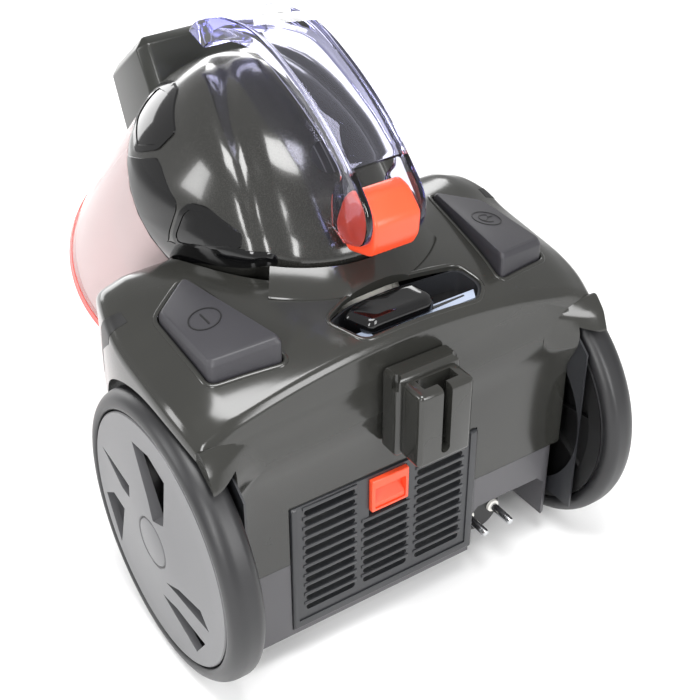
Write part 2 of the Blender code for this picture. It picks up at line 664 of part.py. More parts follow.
def make_bin():
    cup = pipe("bin_cup", BIN_RADIUS - 3.0, BIN_RADIUS - 0.3, along_bin(4.3), along_bin(BIN_LENGTH - 3.3), 32)
    port_middle = (SPOUT_TOP + SPOUT_FRONT) / 2
    cut(cup, rod("bin_inlet", HOSE_BORE_RADIUS - 2.5, port_middle, port_middle - 60 * PORT_DIRECTION, 32))
    turned(
        "bin_flap",
        [(0, -6), (BIN_RADIUS - 3, -6), (BIN_RADIUS, -4), (BIN_RADIUS, 4), (BIN_RADIUS - 4, 4),
         (BIN_RADIUS - 4, -1), (0, -1)],
        along_bin(0), BIN_AXIS, 32,
    )
    gasket_ends = along_bin(BIN_LENGTH - 3), along_bin(BIN_LENGTH - GAP)
    pipe("lid_gasket", BIN_RADIUS - 3.5, BIN_RADIUS - 0.5, *gasket_ends, 32)
    turned(
        "cyclone_shroud",
        [(54, 0), (63, 0), (63, 4), (58, 12), (58, 84), (54, 84)],
        along_bin(62), BIN_AXIS, 28,
    )
    cone = [(10, 0), (13, 0), (31, 60), (31, 128), (28, 128), (28, 60)]
    turned("cyclone_cone", cone, along_bin(20), BIN_AXIS, 28)


def make_lid():
    lid = dome_shell("dome_lid", 0.0, -WALL)
    outlet_ends = [OUTLET_POINT + d * OUTLET_DIRECTION for d in (-12, 9)]
    cut(lid, rod("lid_outlet", OUTLET_RADIUS, *outlet_ends))


def make_spout():
    profile = [
        (SPOUT_TOP.y, SPOUT_TOP.z), (SPOUT_FRONT.y, SPOUT_FRONT.z),
        *from_rim([(-90.59, -37.52), (-45.59, 2.48), (-56.59, 44.48)]),
    ]
    spout = prism("inlet_spout", profile, "x", -SPOUT_HALF_WIDTH, SPOUT_HALF_WIDTH)
    trim = BIN_RADIUS + GAP
    cut(spout, rod("bin_side", trim, along_bin(-40), along_bin(BIN_LENGTH + 0.5), 40))
    cut(spout, dome_shell("lid_side", GAP, None))
    middle = (SPOUT_TOP + SPOUT_FRONT) / 2
    bore = HOSE_BORE_RADIUS
    cut(spout, rod("hose_bore", bore, middle + 10 * PORT_DIRECTION, middle - 60 * PORT_DIRECTION, 32))
    collar_ends = middle - 16 * PORT_DIRECTION, middle - 1 * PORT_DIRECTION
    pipe("hose_collar", bore - 3, bore - GAP, *collar_ends, 32)


# The handle, its inner channel and its button, as (y, z) from the rim's centre.
HANDLE_TOP = [
    (-39.59, 80.48), (-27.59, 91.48), (4.41, 103.48), (40.41, 106.48), (72.41, 97.48),
    (102.41, 82.48), (126.41, 63.48), (141.41, 46.48), (138.41, 28.48), (120.41, 20.48),
]
HANDLE_UNDER = [
    (109.41, 25.48), (109.41, 44.48), (117.41, 58.48), (104.41, 69.48), (92.41, 76.48),
    (66.41, 87.48), (38.41, 94.98), (8.41, 91.48), (-13.59, 82.48), (-21.59, 76.48),
]
HANDLE_CHANNEL = [
    (-15.59, 72.48), (-13.59, 88.48), (8.41, 98.48), (40.41, 101.48), (70.41, 92.98),
    (99.41, 78.48), (109.41, 72.48), (119.41, 82.48), (159.41, 57.48), (159.41, 7.48),
    (104.41, 7.48), (104.41, 44.48), (84.41, 54.48), (64.41, 67.48), (38.41, 74.48), (8.41, 72.48),
]
BUTTON_OUTLINE = [
    (110.41, 28.48), (116.41, 44.48), (123.41, 52.48), (132.41, 51.48), (143.91, 40.98),
    (142.91, 27.48), (138.41, 19.48), (118.41, 13.48), (112.41, 19.48),
]


def make_handle():
    outline = from_rim(HANDLE_TOP + HANDLE_UNDER)
    handle = prism("carry_handle", outline, "x", -HANDLE_HALF_WIDTH, HANDLE_HALF_WIDTH)
    room = HANDLE_HALF_WIDTH - HANDLE_WALL
    cut(handle, prism("channel", from_rim(HANDLE_CHANNEL), "x", -room, room))
    cut(handle, dome_shell("lid_top", GAP, None))
    prism("release_button", from_rim(BUTTON_OUTLINE), "x", -BUTTON_HALF_WIDTH, BUTTON_HALF_WIDTH)


# ---- colours, origins and parents ----
# Each finish, as (colour, roughness, metallic, alpha).
FINISHES = {
    "graphite_gloss": ("#4e4e4b", 0.3, 0.0, 1.0),
    "chassis_grey": ("#6d6b6e", 0.5, 0.0, 1.0),
    "grille_grey": ("#55565a", 0.5, 0.0, 1.0),
    "signal_orange": ("#f4583a", 0.35, 0.0, 1.0),
    "pedal_black": ("#3a393d", 0.65, 0.0, 1.0),
    "knob_black": ("#1c1c1e", 0.25, 0.0, 1.0),
    "tyre_grey": ("#3a3a3c", 0.55, 0.0, 1.0),
    "rim_silver": ("#b4b4b4", 0.4, 0.2, 1.0),
    "dome_graphite": ("#3c3c3a", 0.25, 0.1, 1.0),
    "spout_grey": ("#575855", 0.45, 0.0, 1.0),
    "clear_plastic": ("#e6e8f4", 0.08, 0.0, 0.3),
    "flap_red": ("#d5402c", 0.3, 0.0, 1.0),
    "shroud_grey": ("#8c8d90", 0.5, 0.0, 1.0),
    "inner_black": ("#202022", 0.5, 0.0, 1.0),
    "steel": ("#c4c6c8", 0.3, 1.0, 1.0),
    "seal_rubber": ("#262628", 0.8, 0.0, 1.0),
    "filter_white": ("#e4e2da", 0.9, 0.0, 1.0),
    "board_green": ("#2c5c3a", 0.5, 0.0, 1.0),
}
NODES_OF_FINISH = {
    "graphite_gloss": ["upper_housing"],
    "chassis_grey": ["base_chassis"],
    "grille_grey": ["rear_grille", "parking_socket"],
    "signal_orange": ["grille_latch", "release_button"],
    "pedal_black": ["power_pedal", "rewind_pedal"],
    "knob_black": ["power_slider", "slider_tray", "mains_plug"],
    "tyre_grey": ["left_tyre", "right_tyre", "caster_wheel"],
    "rim_silver": ["left_rim", "right_rim", "left_hub_cap", "right_hub_cap"],
    "dome_graphite": ["dome_lid"],
    "spout_grey": ["inlet_spout", "hose_collar"],
    "clear_plastic": ["carry_handle", "bin_cup"],
    "flap_red": ["bin_flap", "cyclone_cone"],
    "shroud_grey": ["cyclone_shroud"],
    "inner_black": [
        "power_bracket", "rewind_bracket", "power_switch", "motor_housing", "fan_motor", "motor_fan",
        "cord_reel", "wound_cord", "caster_fork",
    ],
    "steel": [
        "power_spring", "rewind_spring", "motor_shaft", "reel_axle", "left_axle", "right_axle", "caster_axle",
        "plug_pin_left", "plug_pin_right",
    ],
    "seal_rubber": ["outlet_seal", "lid_gasket", "motor_mount"],
    "filter_white": ["motor_filter", "exhaust_filter"],
    "board_green": ["control_board"],
}
FLAT_SIDED = {"rear_grille", "parking_socket", "control_board", "exhaust_filter", "power_switch"}
SHARP_ANGLE = math.radians(30)


def linear(hex_colour):
    """A #rrggbb colour as linear light, which Blender's sockets take."""
    channels = [int(hex_colour[i : i + 2], 16) / 255 for i in (1, 3, 5)]
    return [c / 12.92 if c <= 0.04045 else ((c + 0.055) / 1.055) ** 2.4 for c in channels]


def make_finish(name):
    colour, roughness, metallic, alpha = FINISHES[name]
    material = bpy.data.materials.new(name)
    material.use_nodes = True
    shader = material.node_tree.nodes["Principled BSDF"]
    shader.inputs["Base Color"].default_value = (*linear(colour), 1.0)
    shader.inputs["Roughness"].default_value = roughness
    shader.inputs["Metallic"].default_value = metallic
    shader.inputs["Alpha"].default_value = alpha
    return material


def give_finishes():
    for finish, names in NODES_OF_FINISH.items():
        material = make_finish(finish)
        for name in names:
            mesh = bpy.data.objects[name].data
            mesh.materials.clear()
            mesh.materials.append(material)
            if name not in FLAT_SIDED:
                mesh.shade_smooth()
                mesh.set_sharp_from_angle(angle=SHARP_ANGLE)


def put_origin(name, point, *riders):
    """Moves an object's origin to its joint's axis, and parents to it the pieces that ride on it."""
    obj = bpy.data.objects[name]
    place = to_metres(point)
    obj.data.transform(Matrix.Translation(-place))
    obj.location = place
    for rider in riders:
        piece = bpy.data.objects[rider]
        piece.data.transform(Matrix.Translation(-place))
        piece.parent = obj


def place_moving_pieces():
    for side, word in ((1, "left"), (-1, "right")):
        put_origin(f"{word}_rim", (side * TYRE_INNER_X, 0, WHEEL_RADIUS), f"{word}_tyre", f"{word}_hub_cap")
        pedal = "power_pedal" if side > 0 else "rewind_pedal"
        put_origin(pedal, (side * PEDAL_PIN[0], PEDAL_PIN[1], PEDAL_BOTTOM_Z))
    put_origin("power_slider", (sum(STEM_X) / 2, 28, KNOB_Z[0]))
    put_origin("rear_grille", (sum(GRILLE_X) / 2, *GRILLE_PIVOT), "grille_latch")
    put_origin("motor_shaft", (MOTOR_X, 0, MOTOR_Z), "motor_fan")
    put_origin("cord_reel", (REEL_X, REEL_Y, REEL_Z), "wound_cord")
    put_origin("caster_fork", (0, CASTER_Y, 30), "caster_axle")
    put_origin("caster_wheel", (0, CASTER_WHEEL_Y, CASTER_RADIUS))
    bin_pieces = ["lid_gasket", "cyclone_shroud", "cyclone_cone", "dome_lid", "inlet_spout", "hose_collar"]
    put_origin("bin_cup", RIM_CENTRE, *bin_pieces, "carry_handle")
    put_origin("bin_flap", BIN_START + BIN_RADIUS * BIN_BACK)
    put_origin("release_button", RIM_CENTRE + Vector((0, 122.4, 44.5)))


def main():
    for obj in list(bpy.data.objects):
        bpy.data.objects.remove(obj)
    make_upper_housing()
    make_base_chassis()
    make_parking_socket()
    make_rear_grille()
    make_controls()
    make_motor()
    make_reel()
    make_filter_and_seal()
    make_plug()
    make_wheels()
    make_caster()
    make_bin()
    make_lid()
    make_spout()
    make_handle()
    give_finishes()
    place_moving_pieces()


main()
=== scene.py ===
import json
import math

import bmesh
import bpy
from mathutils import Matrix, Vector


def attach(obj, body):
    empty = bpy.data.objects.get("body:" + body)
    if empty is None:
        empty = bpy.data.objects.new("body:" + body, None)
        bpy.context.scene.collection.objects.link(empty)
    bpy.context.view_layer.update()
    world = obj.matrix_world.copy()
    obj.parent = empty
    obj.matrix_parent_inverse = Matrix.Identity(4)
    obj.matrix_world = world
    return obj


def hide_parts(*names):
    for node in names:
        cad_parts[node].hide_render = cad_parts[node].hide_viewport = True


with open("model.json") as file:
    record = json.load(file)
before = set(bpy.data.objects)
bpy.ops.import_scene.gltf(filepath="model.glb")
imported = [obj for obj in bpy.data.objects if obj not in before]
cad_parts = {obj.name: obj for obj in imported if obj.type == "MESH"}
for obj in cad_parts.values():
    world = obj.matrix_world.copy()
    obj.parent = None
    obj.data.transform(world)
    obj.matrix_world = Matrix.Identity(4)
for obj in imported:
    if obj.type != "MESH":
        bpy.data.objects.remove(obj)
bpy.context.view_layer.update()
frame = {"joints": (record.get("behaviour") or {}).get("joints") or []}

# Sizes below are millimetres: x along the wheel axle, y back from it, z up from the floor.
jointsByName = {joint["name"]: joint for joint in frame["joints"]}
axleY = jointsByName["left_wheel_spin"]["pos_m"][1] * 1000
axleZ = jointsByName["left_wheel_spin"]["pos_m"][2] * 1000
print("frame loaded")


def toWorld(point):
    return Vector((point[0], point[1] + axleY, point[2])) / 1000


def addObject(name, mesh):
    obj = bpy.data.objects.new(name, mesh)
    bpy.context.scene.collection.objects.link(obj)
    return obj


weldReach = 1e-6  # metres


def makeMesh(name, points, faces):
    mesh = bpy.data.meshes.new(name)
    mesh.from_pydata([toWorld(p) for p in points], [], faces)
    shape = bmesh.new()
    shape.from_mesh(mesh)
    bmesh.ops.remove_doubles(shape, verts=shape.verts, dist=weldReach)
    bmesh.ops.recalc_face_normals(shape, faces=shape.faces)
    shape.to_mesh(mesh)
    shape.free()
    return addObject(name, mesh)


def loftRings(name, rings, closed=False):
    count = len(rings[0])
    points = [p for ring in rings for p in ring]
    faces = []
    for i in range(len(rings) if closed else len(rings) - 1):
        a, b = i * count, ((i + 1) % len(rings)) * count
        faces += [(a + j, a + (j + 1) % count, b + (j + 1) % count, b + j) for j in range(count)]
    if not closed:
        last = (len(rings) - 1) * count
        faces += [tuple(range(count)), tuple(last + j for j in reversed(range(count)))]
    return makeMesh(name, points, faces)


def extrude(name, outline, axis, start, end):
    put = {
        "x": lambda s, u, v: (s, u, v),
        "y": lambda s, u, v: (u, s, v),
        "z": lambda s, u, v: (u, v, s),
    }[axis]
    return loftRings(name, [[put(s, u, v) for u, v in outline] for s in (start, end)])


def makeBox(name, low, high):
    corners = [(low[0], low[1]), (high[0], low[1]), (high[0], high[1]), (low[0], high[1])]
    return extrude(name, corners, "z", low[2], high[2])


def acrossAxis(direction):
    side = Vector((1, 0, 0)) if abs(direction.x) < 0.9 else Vector((0, 1, 0))
    first = direction.cross(side).normalized()
    return first, direction.cross(first).normalized()


def lathe(name, profile, centre, direction, steps=96):
    direction = Vector(direction).normalized()
    u, v = acrossAxis(direction)
    rings = []
    for k in range(steps):
        a = 2 * math.pi * k / steps
        out = math.cos(a) * u + math.sin(a) * v
        rings.append([Vector(centre) + r * out + s * direction for r, s in profile])
    if min(r for r, _ in profile) > 0:
        return loftRings(name, rings, closed=True)
    count = len(profile)
    points = [p for ring in rings for p in ring]
    faces = []
    for k in range(steps):
        a, b = k * count, ((k + 1) % steps) * count
        for j in range(count - 1):
            r0, r1 = profile[j][0], profile[j + 1][0]
            if r0 > 0 and r1 > 0:
                faces.append((a + j, a + j + 1, b + j + 1, b + j))
            elif r1 > 0:
                faces.append((a + j, a + j + 1, b + j + 1))
            elif r0 > 0:
                faces.append((a + j, a + j + 1, b + j))
    return makeMesh(name, points, faces)


def makeRod(name, radius, start, end, steps=64):
    start, end = Vector(start), Vector(end)
    length = (end - start).length
    return lathe(name, [(0, 0), (radius, 0), (radius, length), (0, length)], start, end - start, steps)


# A profile's corners turned to arcs of the given radius.
def roundProfile(profile, radius, steps=4, closed=True):
    count = len(profile)
    out = []
    for i, point in enumerate(profile):
        if not closed and i in (0, count - 1):
            out.append(tuple(point))
            continue
        here = Vector(point)
        before = Vector(profile[i - 1]) - here
        after = Vector(profile[(i + 1) % count]) - here
        reach = min(radius, before.length * 0.48, after.length * 0.48)
        a, b = here + before.normalized() * reach, here + after.normalized() * reach
        for k in range(steps + 1):
            t = k / steps
            spot = (1 - t) ** 2 * a + 2 * t * (1 - t) * here + t**2 * b
            out.append(tuple(spot))
    return out


def runBoolean(target, operation, others):
    for other in others:
        modifier = target.modifiers.new(operation, "BOOLEAN")
        modifier.operation = operation
        modifier.solver = "MANIFOLD"
        modifier.object = other
        bakeModifiers(target)
        bpy.data.objects.remove(other)
    return target


def bakeModifiers(obj):
    graph = bpy.context.evaluated_depsgraph_get()
    mesh = bpy.data.meshes.new_from_object(obj.evaluated_get(graph))
    obj.modifiers.clear()
    obj.data = mesh


def cutAway(target, *others):
    return runBoolean(target, "DIFFERENCE", others)


def fuse(target, *others):
    return runBoolean(target, "UNION", others)


def keepInside(target, *others):
    return runBoolean(target, "INTERSECT", others)


# Edges sharper than the angle get a rounded bevel.
def roundEdges(obj, width, segments=3, angle=35):
    modifier = obj.modifiers.new("rounding", "BEVEL")
    modifier.width = width / 1000
    modifier.segments = segments
    modifier.limit_method = "ANGLE"
    modifier.angle_limit = math.radians(angle)
    modifier.harden_normals = False
    bakeModifiers(obj)
    return obj


def finishPiece(obj, body, material, replaces=(), sharp=32):
    obj.data.materials.clear()
    obj.data.materials.append(material)
    obj.data.shade_smooth()
    obj.data.set_sharp_from_angle(angle=math.radians(sharp))
    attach(obj, body)
    if replaces:
        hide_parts(*replaces)
    return obj


def smoothValue(table, at):
    keys = [k for k, _ in table]
    values = [v for _, v in table]
    if at <= keys[0]:
        return values[0]
    if at >= keys[-1]:
        return values[-1]
    i = min(max(n for n, k in enumerate(keys) if k <= at), len(keys) - 2)

    def slope(n):
        low, high = max(n - 1, 0), min(n + 1, len(keys) - 1)
        return (values[high] - values[low]) / (keys[high] - keys[low])

    span = keys[i + 1] - keys[i]
    t = (at - keys[i]) / span
    a, b = values[i], values[i + 1]
    c, d = slope(i) * span, slope(i + 1) * span
    return a + c * t + (3 * (b - a) - 2 * c - d) * t * t + (2 * (a - b) + c + d) * t**3


# An sRGB hex value turned to linear.
def linearColour(hexColour):
    channels = [int(hexColour[i : i + 2], 16) / 255 for i in (1, 3, 5)]
    return (*[c / 12.92 if c <= 0.04045 else ((c + 0.055) / 1.055) ** 2.4 for c in channels], 1.0)


def addNode(tree, kind, settings=None, links=None):
    node = tree.nodes.new(kind)
    for key, value in (settings or {}).items():
        if hasattr(node, key):
            setattr(node, key, value)
        else:
            node.inputs[key].default_value = value
    for key, source in (links or {}).items():
        tree.links.new(source, node.inputs[key])
    return node


def newMaterial(name, colour, **sockets):
    material = bpy.data.materials.new(name)
    material.use_nodes = True
    tree = material.node_tree
    shader = tree.nodes["Principled BSDF"]
    shader.inputs["Base Color"].default_value = linearColour(colour)
    for key, value in sockets.items():
        shader.inputs[key.replace("_", " ")].default_value = value
    return material, tree, shader


# Fine relief from noise, whose grain is given in millimetres.
def addRelief(tree, shader, grain, depth):
    place = addNode(tree, "ShaderNodeTexCoord")
    noise = addNode(
        tree, "ShaderNodeTexNoise", {"Scale": 1000 / grain, "Detail": 2.0}, {"Vector": place.outputs["Object"]}
    )
    bump = addNode(
        tree, "ShaderNodeBump", {"Strength": 1.0, "Distance": depth / 1000}, {"Height": noise.outputs["Fac"]}
    )
    tree.links.new(bump.outputs["Normal"], shader.inputs["Normal"])
    return place


# Colour and roughness that drift over some centimetres, as on handled plastic.
driftSize = 40.0


def addDrift(tree, shader, place, dark, light, rough):
    noise = addNode(
        tree, "ShaderNodeTexNoise", {"Scale": 1000 / driftSize, "Detail": 4.0},
        {"Vector": place.outputs["Object"]},
    )
    mix = addNode(tree, "ShaderNodeMix", {"data_type": "RGBA"}, {"Factor": noise.outputs["Fac"]})
    mix.inputs[6].default_value = linearColour(dark)
    mix.inputs[7].default_value = linearColour(light)
    tree.links.new(mix.outputs[2], shader.inputs["Base Color"])
    spread = addNode(
        tree, "ShaderNodeMapRange", {"To Min": rough[0], "To Max": rough[1]}, {"Value": noise.outputs["Fac"]}
    )
    tree.links.new(spread.outputs["Result"], shader.inputs["Roughness"])


def makeAbs(name, dark, light, rough, grain, depth, **sockets):
    material, tree, shader = newMaterial(name, dark, IOR=1.53, **sockets)
    place = addRelief(tree, shader, grain, depth)
    addDrift(tree, shader, place, dark, light, rough)
    return material


# Gloss moulded ABS: an almost mirror skin with a faint orange peel.
absGraphite = makeAbs("ABS moulded gloss graphite", "#272725", "#2e2e2b", (0.12, 0.18), 2.4, 0.003)
# Satin moulded ABS: a fine etched skin that blurs what it reflects.
absGreySatin = makeAbs("ABS moulded satin grey", "#454447", "#4e4d50", (0.34, 0.42), 0.8, 0.008)
absDarkSatin = makeAbs("ABS moulded satin dark grey", "#232427", "#2b2c2f", (0.26, 0.34), 0.8, 0.006)
# The same satin skin in an olive grey, for the inlet spout.
absSpout = makeAbs("ABS moulded satin olive grey", "#1b1c19", "#22231f", (0.26, 0.34), 0.8, 0.006)
# Bright opaque orange with a soft shine: the buttons that a hand looks for.
absOrange = makeAbs("ABS moulded gloss orange", "#ee4a28", "#f3532f", (0.28, 0.36), 2.0, 0.003)
# Polished black: reads by its reflections alone.
absBlackGloss = makeAbs("ABS moulded gloss black", "#070708", "#0b0b0c", (0.06, 0.1), 3.0, 0.001)
# Silver grey with a fine grain that spreads the light evenly over the wheel discs.
absRim = makeAbs("ABS moulded silver grey", "#545456", "#5e5e60", (0.3, 0.38), 1.2, 0.005)
# Dull black for the plug, the printed marks and what lies inside the casings; also painted shade in the side
# gaps, the vent holes and the groove round the hub caps.
absBlackAndPaintedShade = makeAbs("ABS moulded black and painted shade", "#0a0a0b", "#0e0e0f", (0.4, 0.5), 1.0, 0.008)
# Mid grey with a dull skin, seen through the clear bin.
absShroud = makeAbs("ABS moulded light grey", "#4c4d50", "#56575a", (0.4, 0.5), 1.0, 0.006)
# Spark-eroded texture: fine pits that take the shine off the pedals.
absPedal = makeAbs("ABS spark textured black", "#29282c", "#333237", (0.42, 0.52), 0.7, 0.06)
# Soft thermoplastic rubber: a dull skin with a wide sheen.
tpeTyre = makeAbs("TPE moulded tyre", "#161618", "#1d1d1f", (0.36, 0.46), 0.9, 0.008)
# Moulded rubber: nearly black and without shine.
rubberSeal = makeAbs("EPDM moulded seal", "#151516", "#1c1c1d", (0.7, 0.8), 0.9, 0.02)
# Needled felt: off-white fibres that scatter all light.
filterFelt = makeAbs("polyester needle felt", "#d9d6cd", "#eceae2", (0.85, 0.95), 0.5, 0.2)
# Extruded PVC: smooth black with a soft long shine.
cordSkin = makeAbs("PVC extruded cord skin", "#101011", "#18181a", (0.35, 0.45), 1.5, 0.01)
# Solder mask over glass cloth: deep green with a low gloss.
boardGreen = makeAbs("glass epoxy board", "#235030", "#2b5c39", (0.3, 0.4), 1.0, 0.01)
# Metallised film: a cool pale blue that catches the sky.
labelBlue = makeAbs("printed silver blue film", "#9fabc0", "#abb6ca", (0.3, 0.4), 1.0, 0.003, Metallic=0.35)
# Moulded nylon: warm white, slightly dull.
ceramicWhite = makeAbs("PA moulded white sleeve", "#dcdad4", "#e8e6e0", (0.4, 0.5), 1.0, 0.004)


# Gloss ABS with fine aluminium flake under the surface: tiny points catch the light.
def makeFlake():
    material, tree, shader = newMaterial("ABS moulded graphite with aluminium flake", "#31312f", IOR=1.53)
    place = addRelief(tree, shader, 2.4, 0.003)
    flakes = addNode(tree, "ShaderNodeTexVoronoi", {"Scale": 1000 / 0.3}, {"Vector": place.outputs["Object"]})
    bright = addNode(
        tree, "ShaderNodeMapRange", {"From Min": 0.55, "From Max": 1.0}, {"Value": flakes.outputs["Color"]}
    )
    mix = addNode(tree, "ShaderNodeMix", {"data_type": "RGBA"}, {"Factor": bright.outputs["Result"]})
    mix.inputs[6].default_value = linearColour("#272725")
    mix.inputs[7].default_value = linearColour("#3b3a37")
    tree.links.new(mix.outputs[2], shader.inputs["Base Color"])
    shader.inputs["Metallic"].default_value = 0.25
    shader.inputs["Roughness"].default_value = 0.2
    shader.inputs["Coat Weight"].default_value = 0.5
    shader.inputs["Coat Roughness"].default_value = 0.08
    return material


absFlake = makeFlake()


# Clear moulded plastic: sharp reflections, and a tint that deepens through thick walls.
def makeClear(name, colour, tint, density):
    material, tree, _ = newMaterial(name, colour, IOR=1.5, Roughness=0.02, Transmission_Weight=1.0)
    absorb = addNode(tree, "ShaderNodeVolumeAbsorption", {"Color": linearColour(tint), "Density": density})
    output = tree.nodes["Material Output"]
    tree.links.new(absorb.outputs["Volume"], output.inputs["Volume"])
    return material


# Thin clear wall: light passes straight through, with a sharp shine that grows towards its edges.
def makeThinClear(name, tint, dyed):
    material, tree, shader = newMaterial(name, dyed, IOR=1.5, Roughness=0.05)
    clear = addNode(tree, "ShaderNodeBsdfTransparent", {"Color": linearColour(tint)})
    edge = addNode(tree, "ShaderNodeFresnel", {"IOR": 1.5})
    amount = addNode(
        tree, "ShaderNodeMapRange", {"From Min": 0.0, "From Max": 1.0, "To Min": 0.13, "To Max": 0.9},
        {"Value": edge.outputs["Fac"]},
    )
    mixed = addNode(tree, "ShaderNodeMixShader", {}, {"Fac": amount.outputs["Result"]})
    tree.links.new(clear.outputs["BSDF"], mixed.inputs[1])
    tree.links.new(shader.outputs["BSDF"], mixed.inputs[2])
    tree.links.new(mixed.outputs["Shader"], tree.nodes["Material Output"].inputs["Surface"])
    return material


# Clear polycarbonate: white highlights, with a violet tint where its walls are deep.
polycarbonate = makeClear("polycarbonate moulded clear", "#f6f6ff", "#a2a2f2", 34.0)
# Clear styrene: shows the pieces behind it, slightly warm.
clearBin = makeThinClear("SAN moulded clear bin", "#fbf3f3", "#e9dede")
# Red styrene: light enters it a little, so its edges glow.
redBin = makeAbs("SAN moulded red", "#c8362c", "#d84438", (0.15, 0.22), 2.0, 0.002, Subsurface_Weight=0.3)


# Turned steel under nickel: a bright mirror with faint tool marks.
def makeSteel():
    material, tree, shader = newMaterial(
        "steel turned nickel plated", "#c8c9cb", Metallic=1.0, Roughness=0.22
    )
    addRelief(tree, shader, 0.8, 0.002)
    return material


steelPlated = makeSteel()
print("materials made")


# Row upon row of one piece, placed by Geometry Nodes.
def repeatInRows(name, piece, material, counts, steps):
    tree = bpy.data.node_groups.new(name, "GeometryNodeTree")
    for label, kind, direction in (
        ("Geometry", "NodeSocketGeometry", "INPUT"), ("Piece", "NodeSocketObject", "INPUT"),
        ("Across", "NodeSocketInt", "INPUT"), ("Up", "NodeSocketInt", "INPUT"),
        ("Step Across", "NodeSocketVector", "INPUT"), ("Step Up", "NodeSocketVector", "INPUT"),
        ("Material", "NodeSocketMaterial", "INPUT"), ("Geometry", "NodeSocketGeometry", "OUTPUT"),
    ):
        tree.interface.new_socket(label, in_out=direction, socket_type=kind)
    source = addNode(tree, "NodeGroupInput")
    sink = addNode(tree, "NodeGroupOutput")
    rows = addNode(
        tree, "GeometryNodeMeshLine", {"mode": "OFFSET"},
        {"Count": source.outputs["Up"], "Offset": source.outputs["Step Up"]},
    )
    columns = addNode(
        tree, "GeometryNodeMeshLine", {"mode": "OFFSET"},
        {"Count": source.outputs["Across"], "Offset": source.outputs["Step Across"]},
    )
    spread = addNode(
        tree, "GeometryNodeInstanceOnPoints", {},
        {"Points": rows.outputs["Mesh"], "Instance": columns.outputs["Mesh"]},
    )
    points = addNode(tree, "GeometryNodeRealizeInstances", {}, {"Geometry": spread.outputs["Instances"]})
    info = addNode(tree, "GeometryNodeObjectInfo", {}, {"Object": source.outputs["Piece"]})
    copies = addNode(
        tree, "GeometryNodeInstanceOnPoints", {},
        {"Points": points.outputs["Geometry"], "Instance": info.outputs["Geometry"]},
    )
    solid = addNode(tree, "GeometryNodeRealizeInstances", {}, {"Geometry": copies.outputs["Instances"]})
    dressed = addNode(
        tree, "GeometryNodeSetMaterial", {},
        {"Geometry": solid.outputs["Geometry"], "Material": source.outputs["Material"]},
    )
    tree.links.new(dressed.outputs["Geometry"], sink.inputs["Geometry"])
    obj = addObject(name, bpy.data.meshes.new(name))
    modifier = obj.modifiers.new("rows", "NODES")
    modifier.node_group = tree
    values = {
        "Piece": piece, "Across": counts[0], "Up": counts[1],
        "Step Across": Vector(steps[0]) / 1000, "Step Up": Vector(steps[1]) / 1000, "Material": material,
    }
    for item in tree.interface.items_tree:
        if item.name in values:
            modifier[item.identifier] = values[item.name]
    bakeModifiers(obj)
    bpy.data.objects.remove(piece)
    return obj


# The bin and the lid share one tilted axis.
bin_ = {
    "tilt": 44.0, "radius": 77.5, "length": 159.2, "foot": (0, -225.0, 103.0), "clearance": 3.0, "wall": 2.5,
}
tilt = math.radians(bin_["tilt"])
binAxis = Vector((0, math.sin(tilt), math.cos(tilt)))
binStart = Vector(bin_["foot"])
rimCentre = binStart + bin_["length"] * binAxis
radius = bin_["radius"]
lidRidge = (
    (-44, radius), (-25, 92), (-10, 105), (2, 113), (15, 100), (30, 91), (45, 83), (60, 76), (82, 72),
    (108, 73), (136, radius),
)
lidCrease = {
    "depth": 5.0, "width": 6.0, "bulge": 2.2, "bulgeOff": 18.0, "bulgeWidth": 13.0, "fadeFrom": 116.0,
    "fadeOver": 26.0,
    "path": ((-20, 47), (4, 44), (18, 42), (39, 38), (67, 29), (107, 12), (136, 8)),
}
lidGrid = {"rows": 56, "columns": 88}


def lidPoint(angle, turn, grow, crease=0.0):
    reach = (smoothValue(lidRidge, math.degrees(angle)) + grow) * math.sin(turn)
    x = (radius + grow) * math.cos(turn)
    if crease:
        valley = smoothValue(lidCrease["path"], math.degrees(angle))
        turned = math.degrees(angle)
        fade = min(1.0, max(0.0, (lidCrease["fadeFrom"] - turned) / lidCrease["fadeOver"]))
        fade *= min(1.0, max(0.0, (turned + 44) / 20))
        dip = lidCrease["depth"] * math.exp(-(((abs(x) - valley) / lidCrease["width"]) ** 2))
        beyond = abs(x) - valley - lidCrease["bulgeOff"]
        swell = lidCrease["bulge"] * math.exp(-((beyond / lidCrease["bulgeWidth"]) ** 2))
        reach += crease * fade * (swell - dip) * math.sin(turn) ** 0.5
    return rimCentre + Vector((x, reach * math.cos(angle), reach * math.sin(angle)))


def lidShell(name, outer, inner=None, crease=0.0):
    rows, columns = lidGrid["rows"], lidGrid["columns"]
    first, last = math.radians(lidRidge[0][0]), math.radians(lidRidge[-1][0])

    def grid(grow):
        return [
            lidPoint(first + (last - first) * i / rows, math.pi * j / columns, grow, crease)
            for i in range(rows + 1)
            for j in range(columns + 1)
        ]

    def sheet(start, flip):
        faces = []
        for i in range(rows):
            for j in range(columns):
                a = start + i * (columns + 1) + j
                face = (a, a + 1, a + columns + 2, a + columns + 1)
                faces.append(face[::-1] if flip else face)
        return faces

    points = grid(outer)
    faces = sheet(0, False)
    end = rows * (columns + 1)
    if inner is None:
        faces.append(tuple(list(range(columns + 1)) + [end + j for j in range(columns - 1, 0, -1)]))
        return makeMesh(name, points, faces)
    second = len(points)
    points += grid(inner)
    faces += sheet(second, True)
    for edge in (0, end):
        faces += [(edge + j, edge + j + 1, second + edge + j + 1, second + edge + j) for j in range(columns)]
    return makeMesh(name, points, faces)


def binRoom(name, grow):
    tube = makeRod(name, radius + grow - 0.4, binStart - (8 + grow) * binAxis, rimCentre + 5 * binAxis, 96)
    return fuse(tube, lidShell("lidRoom", grow))


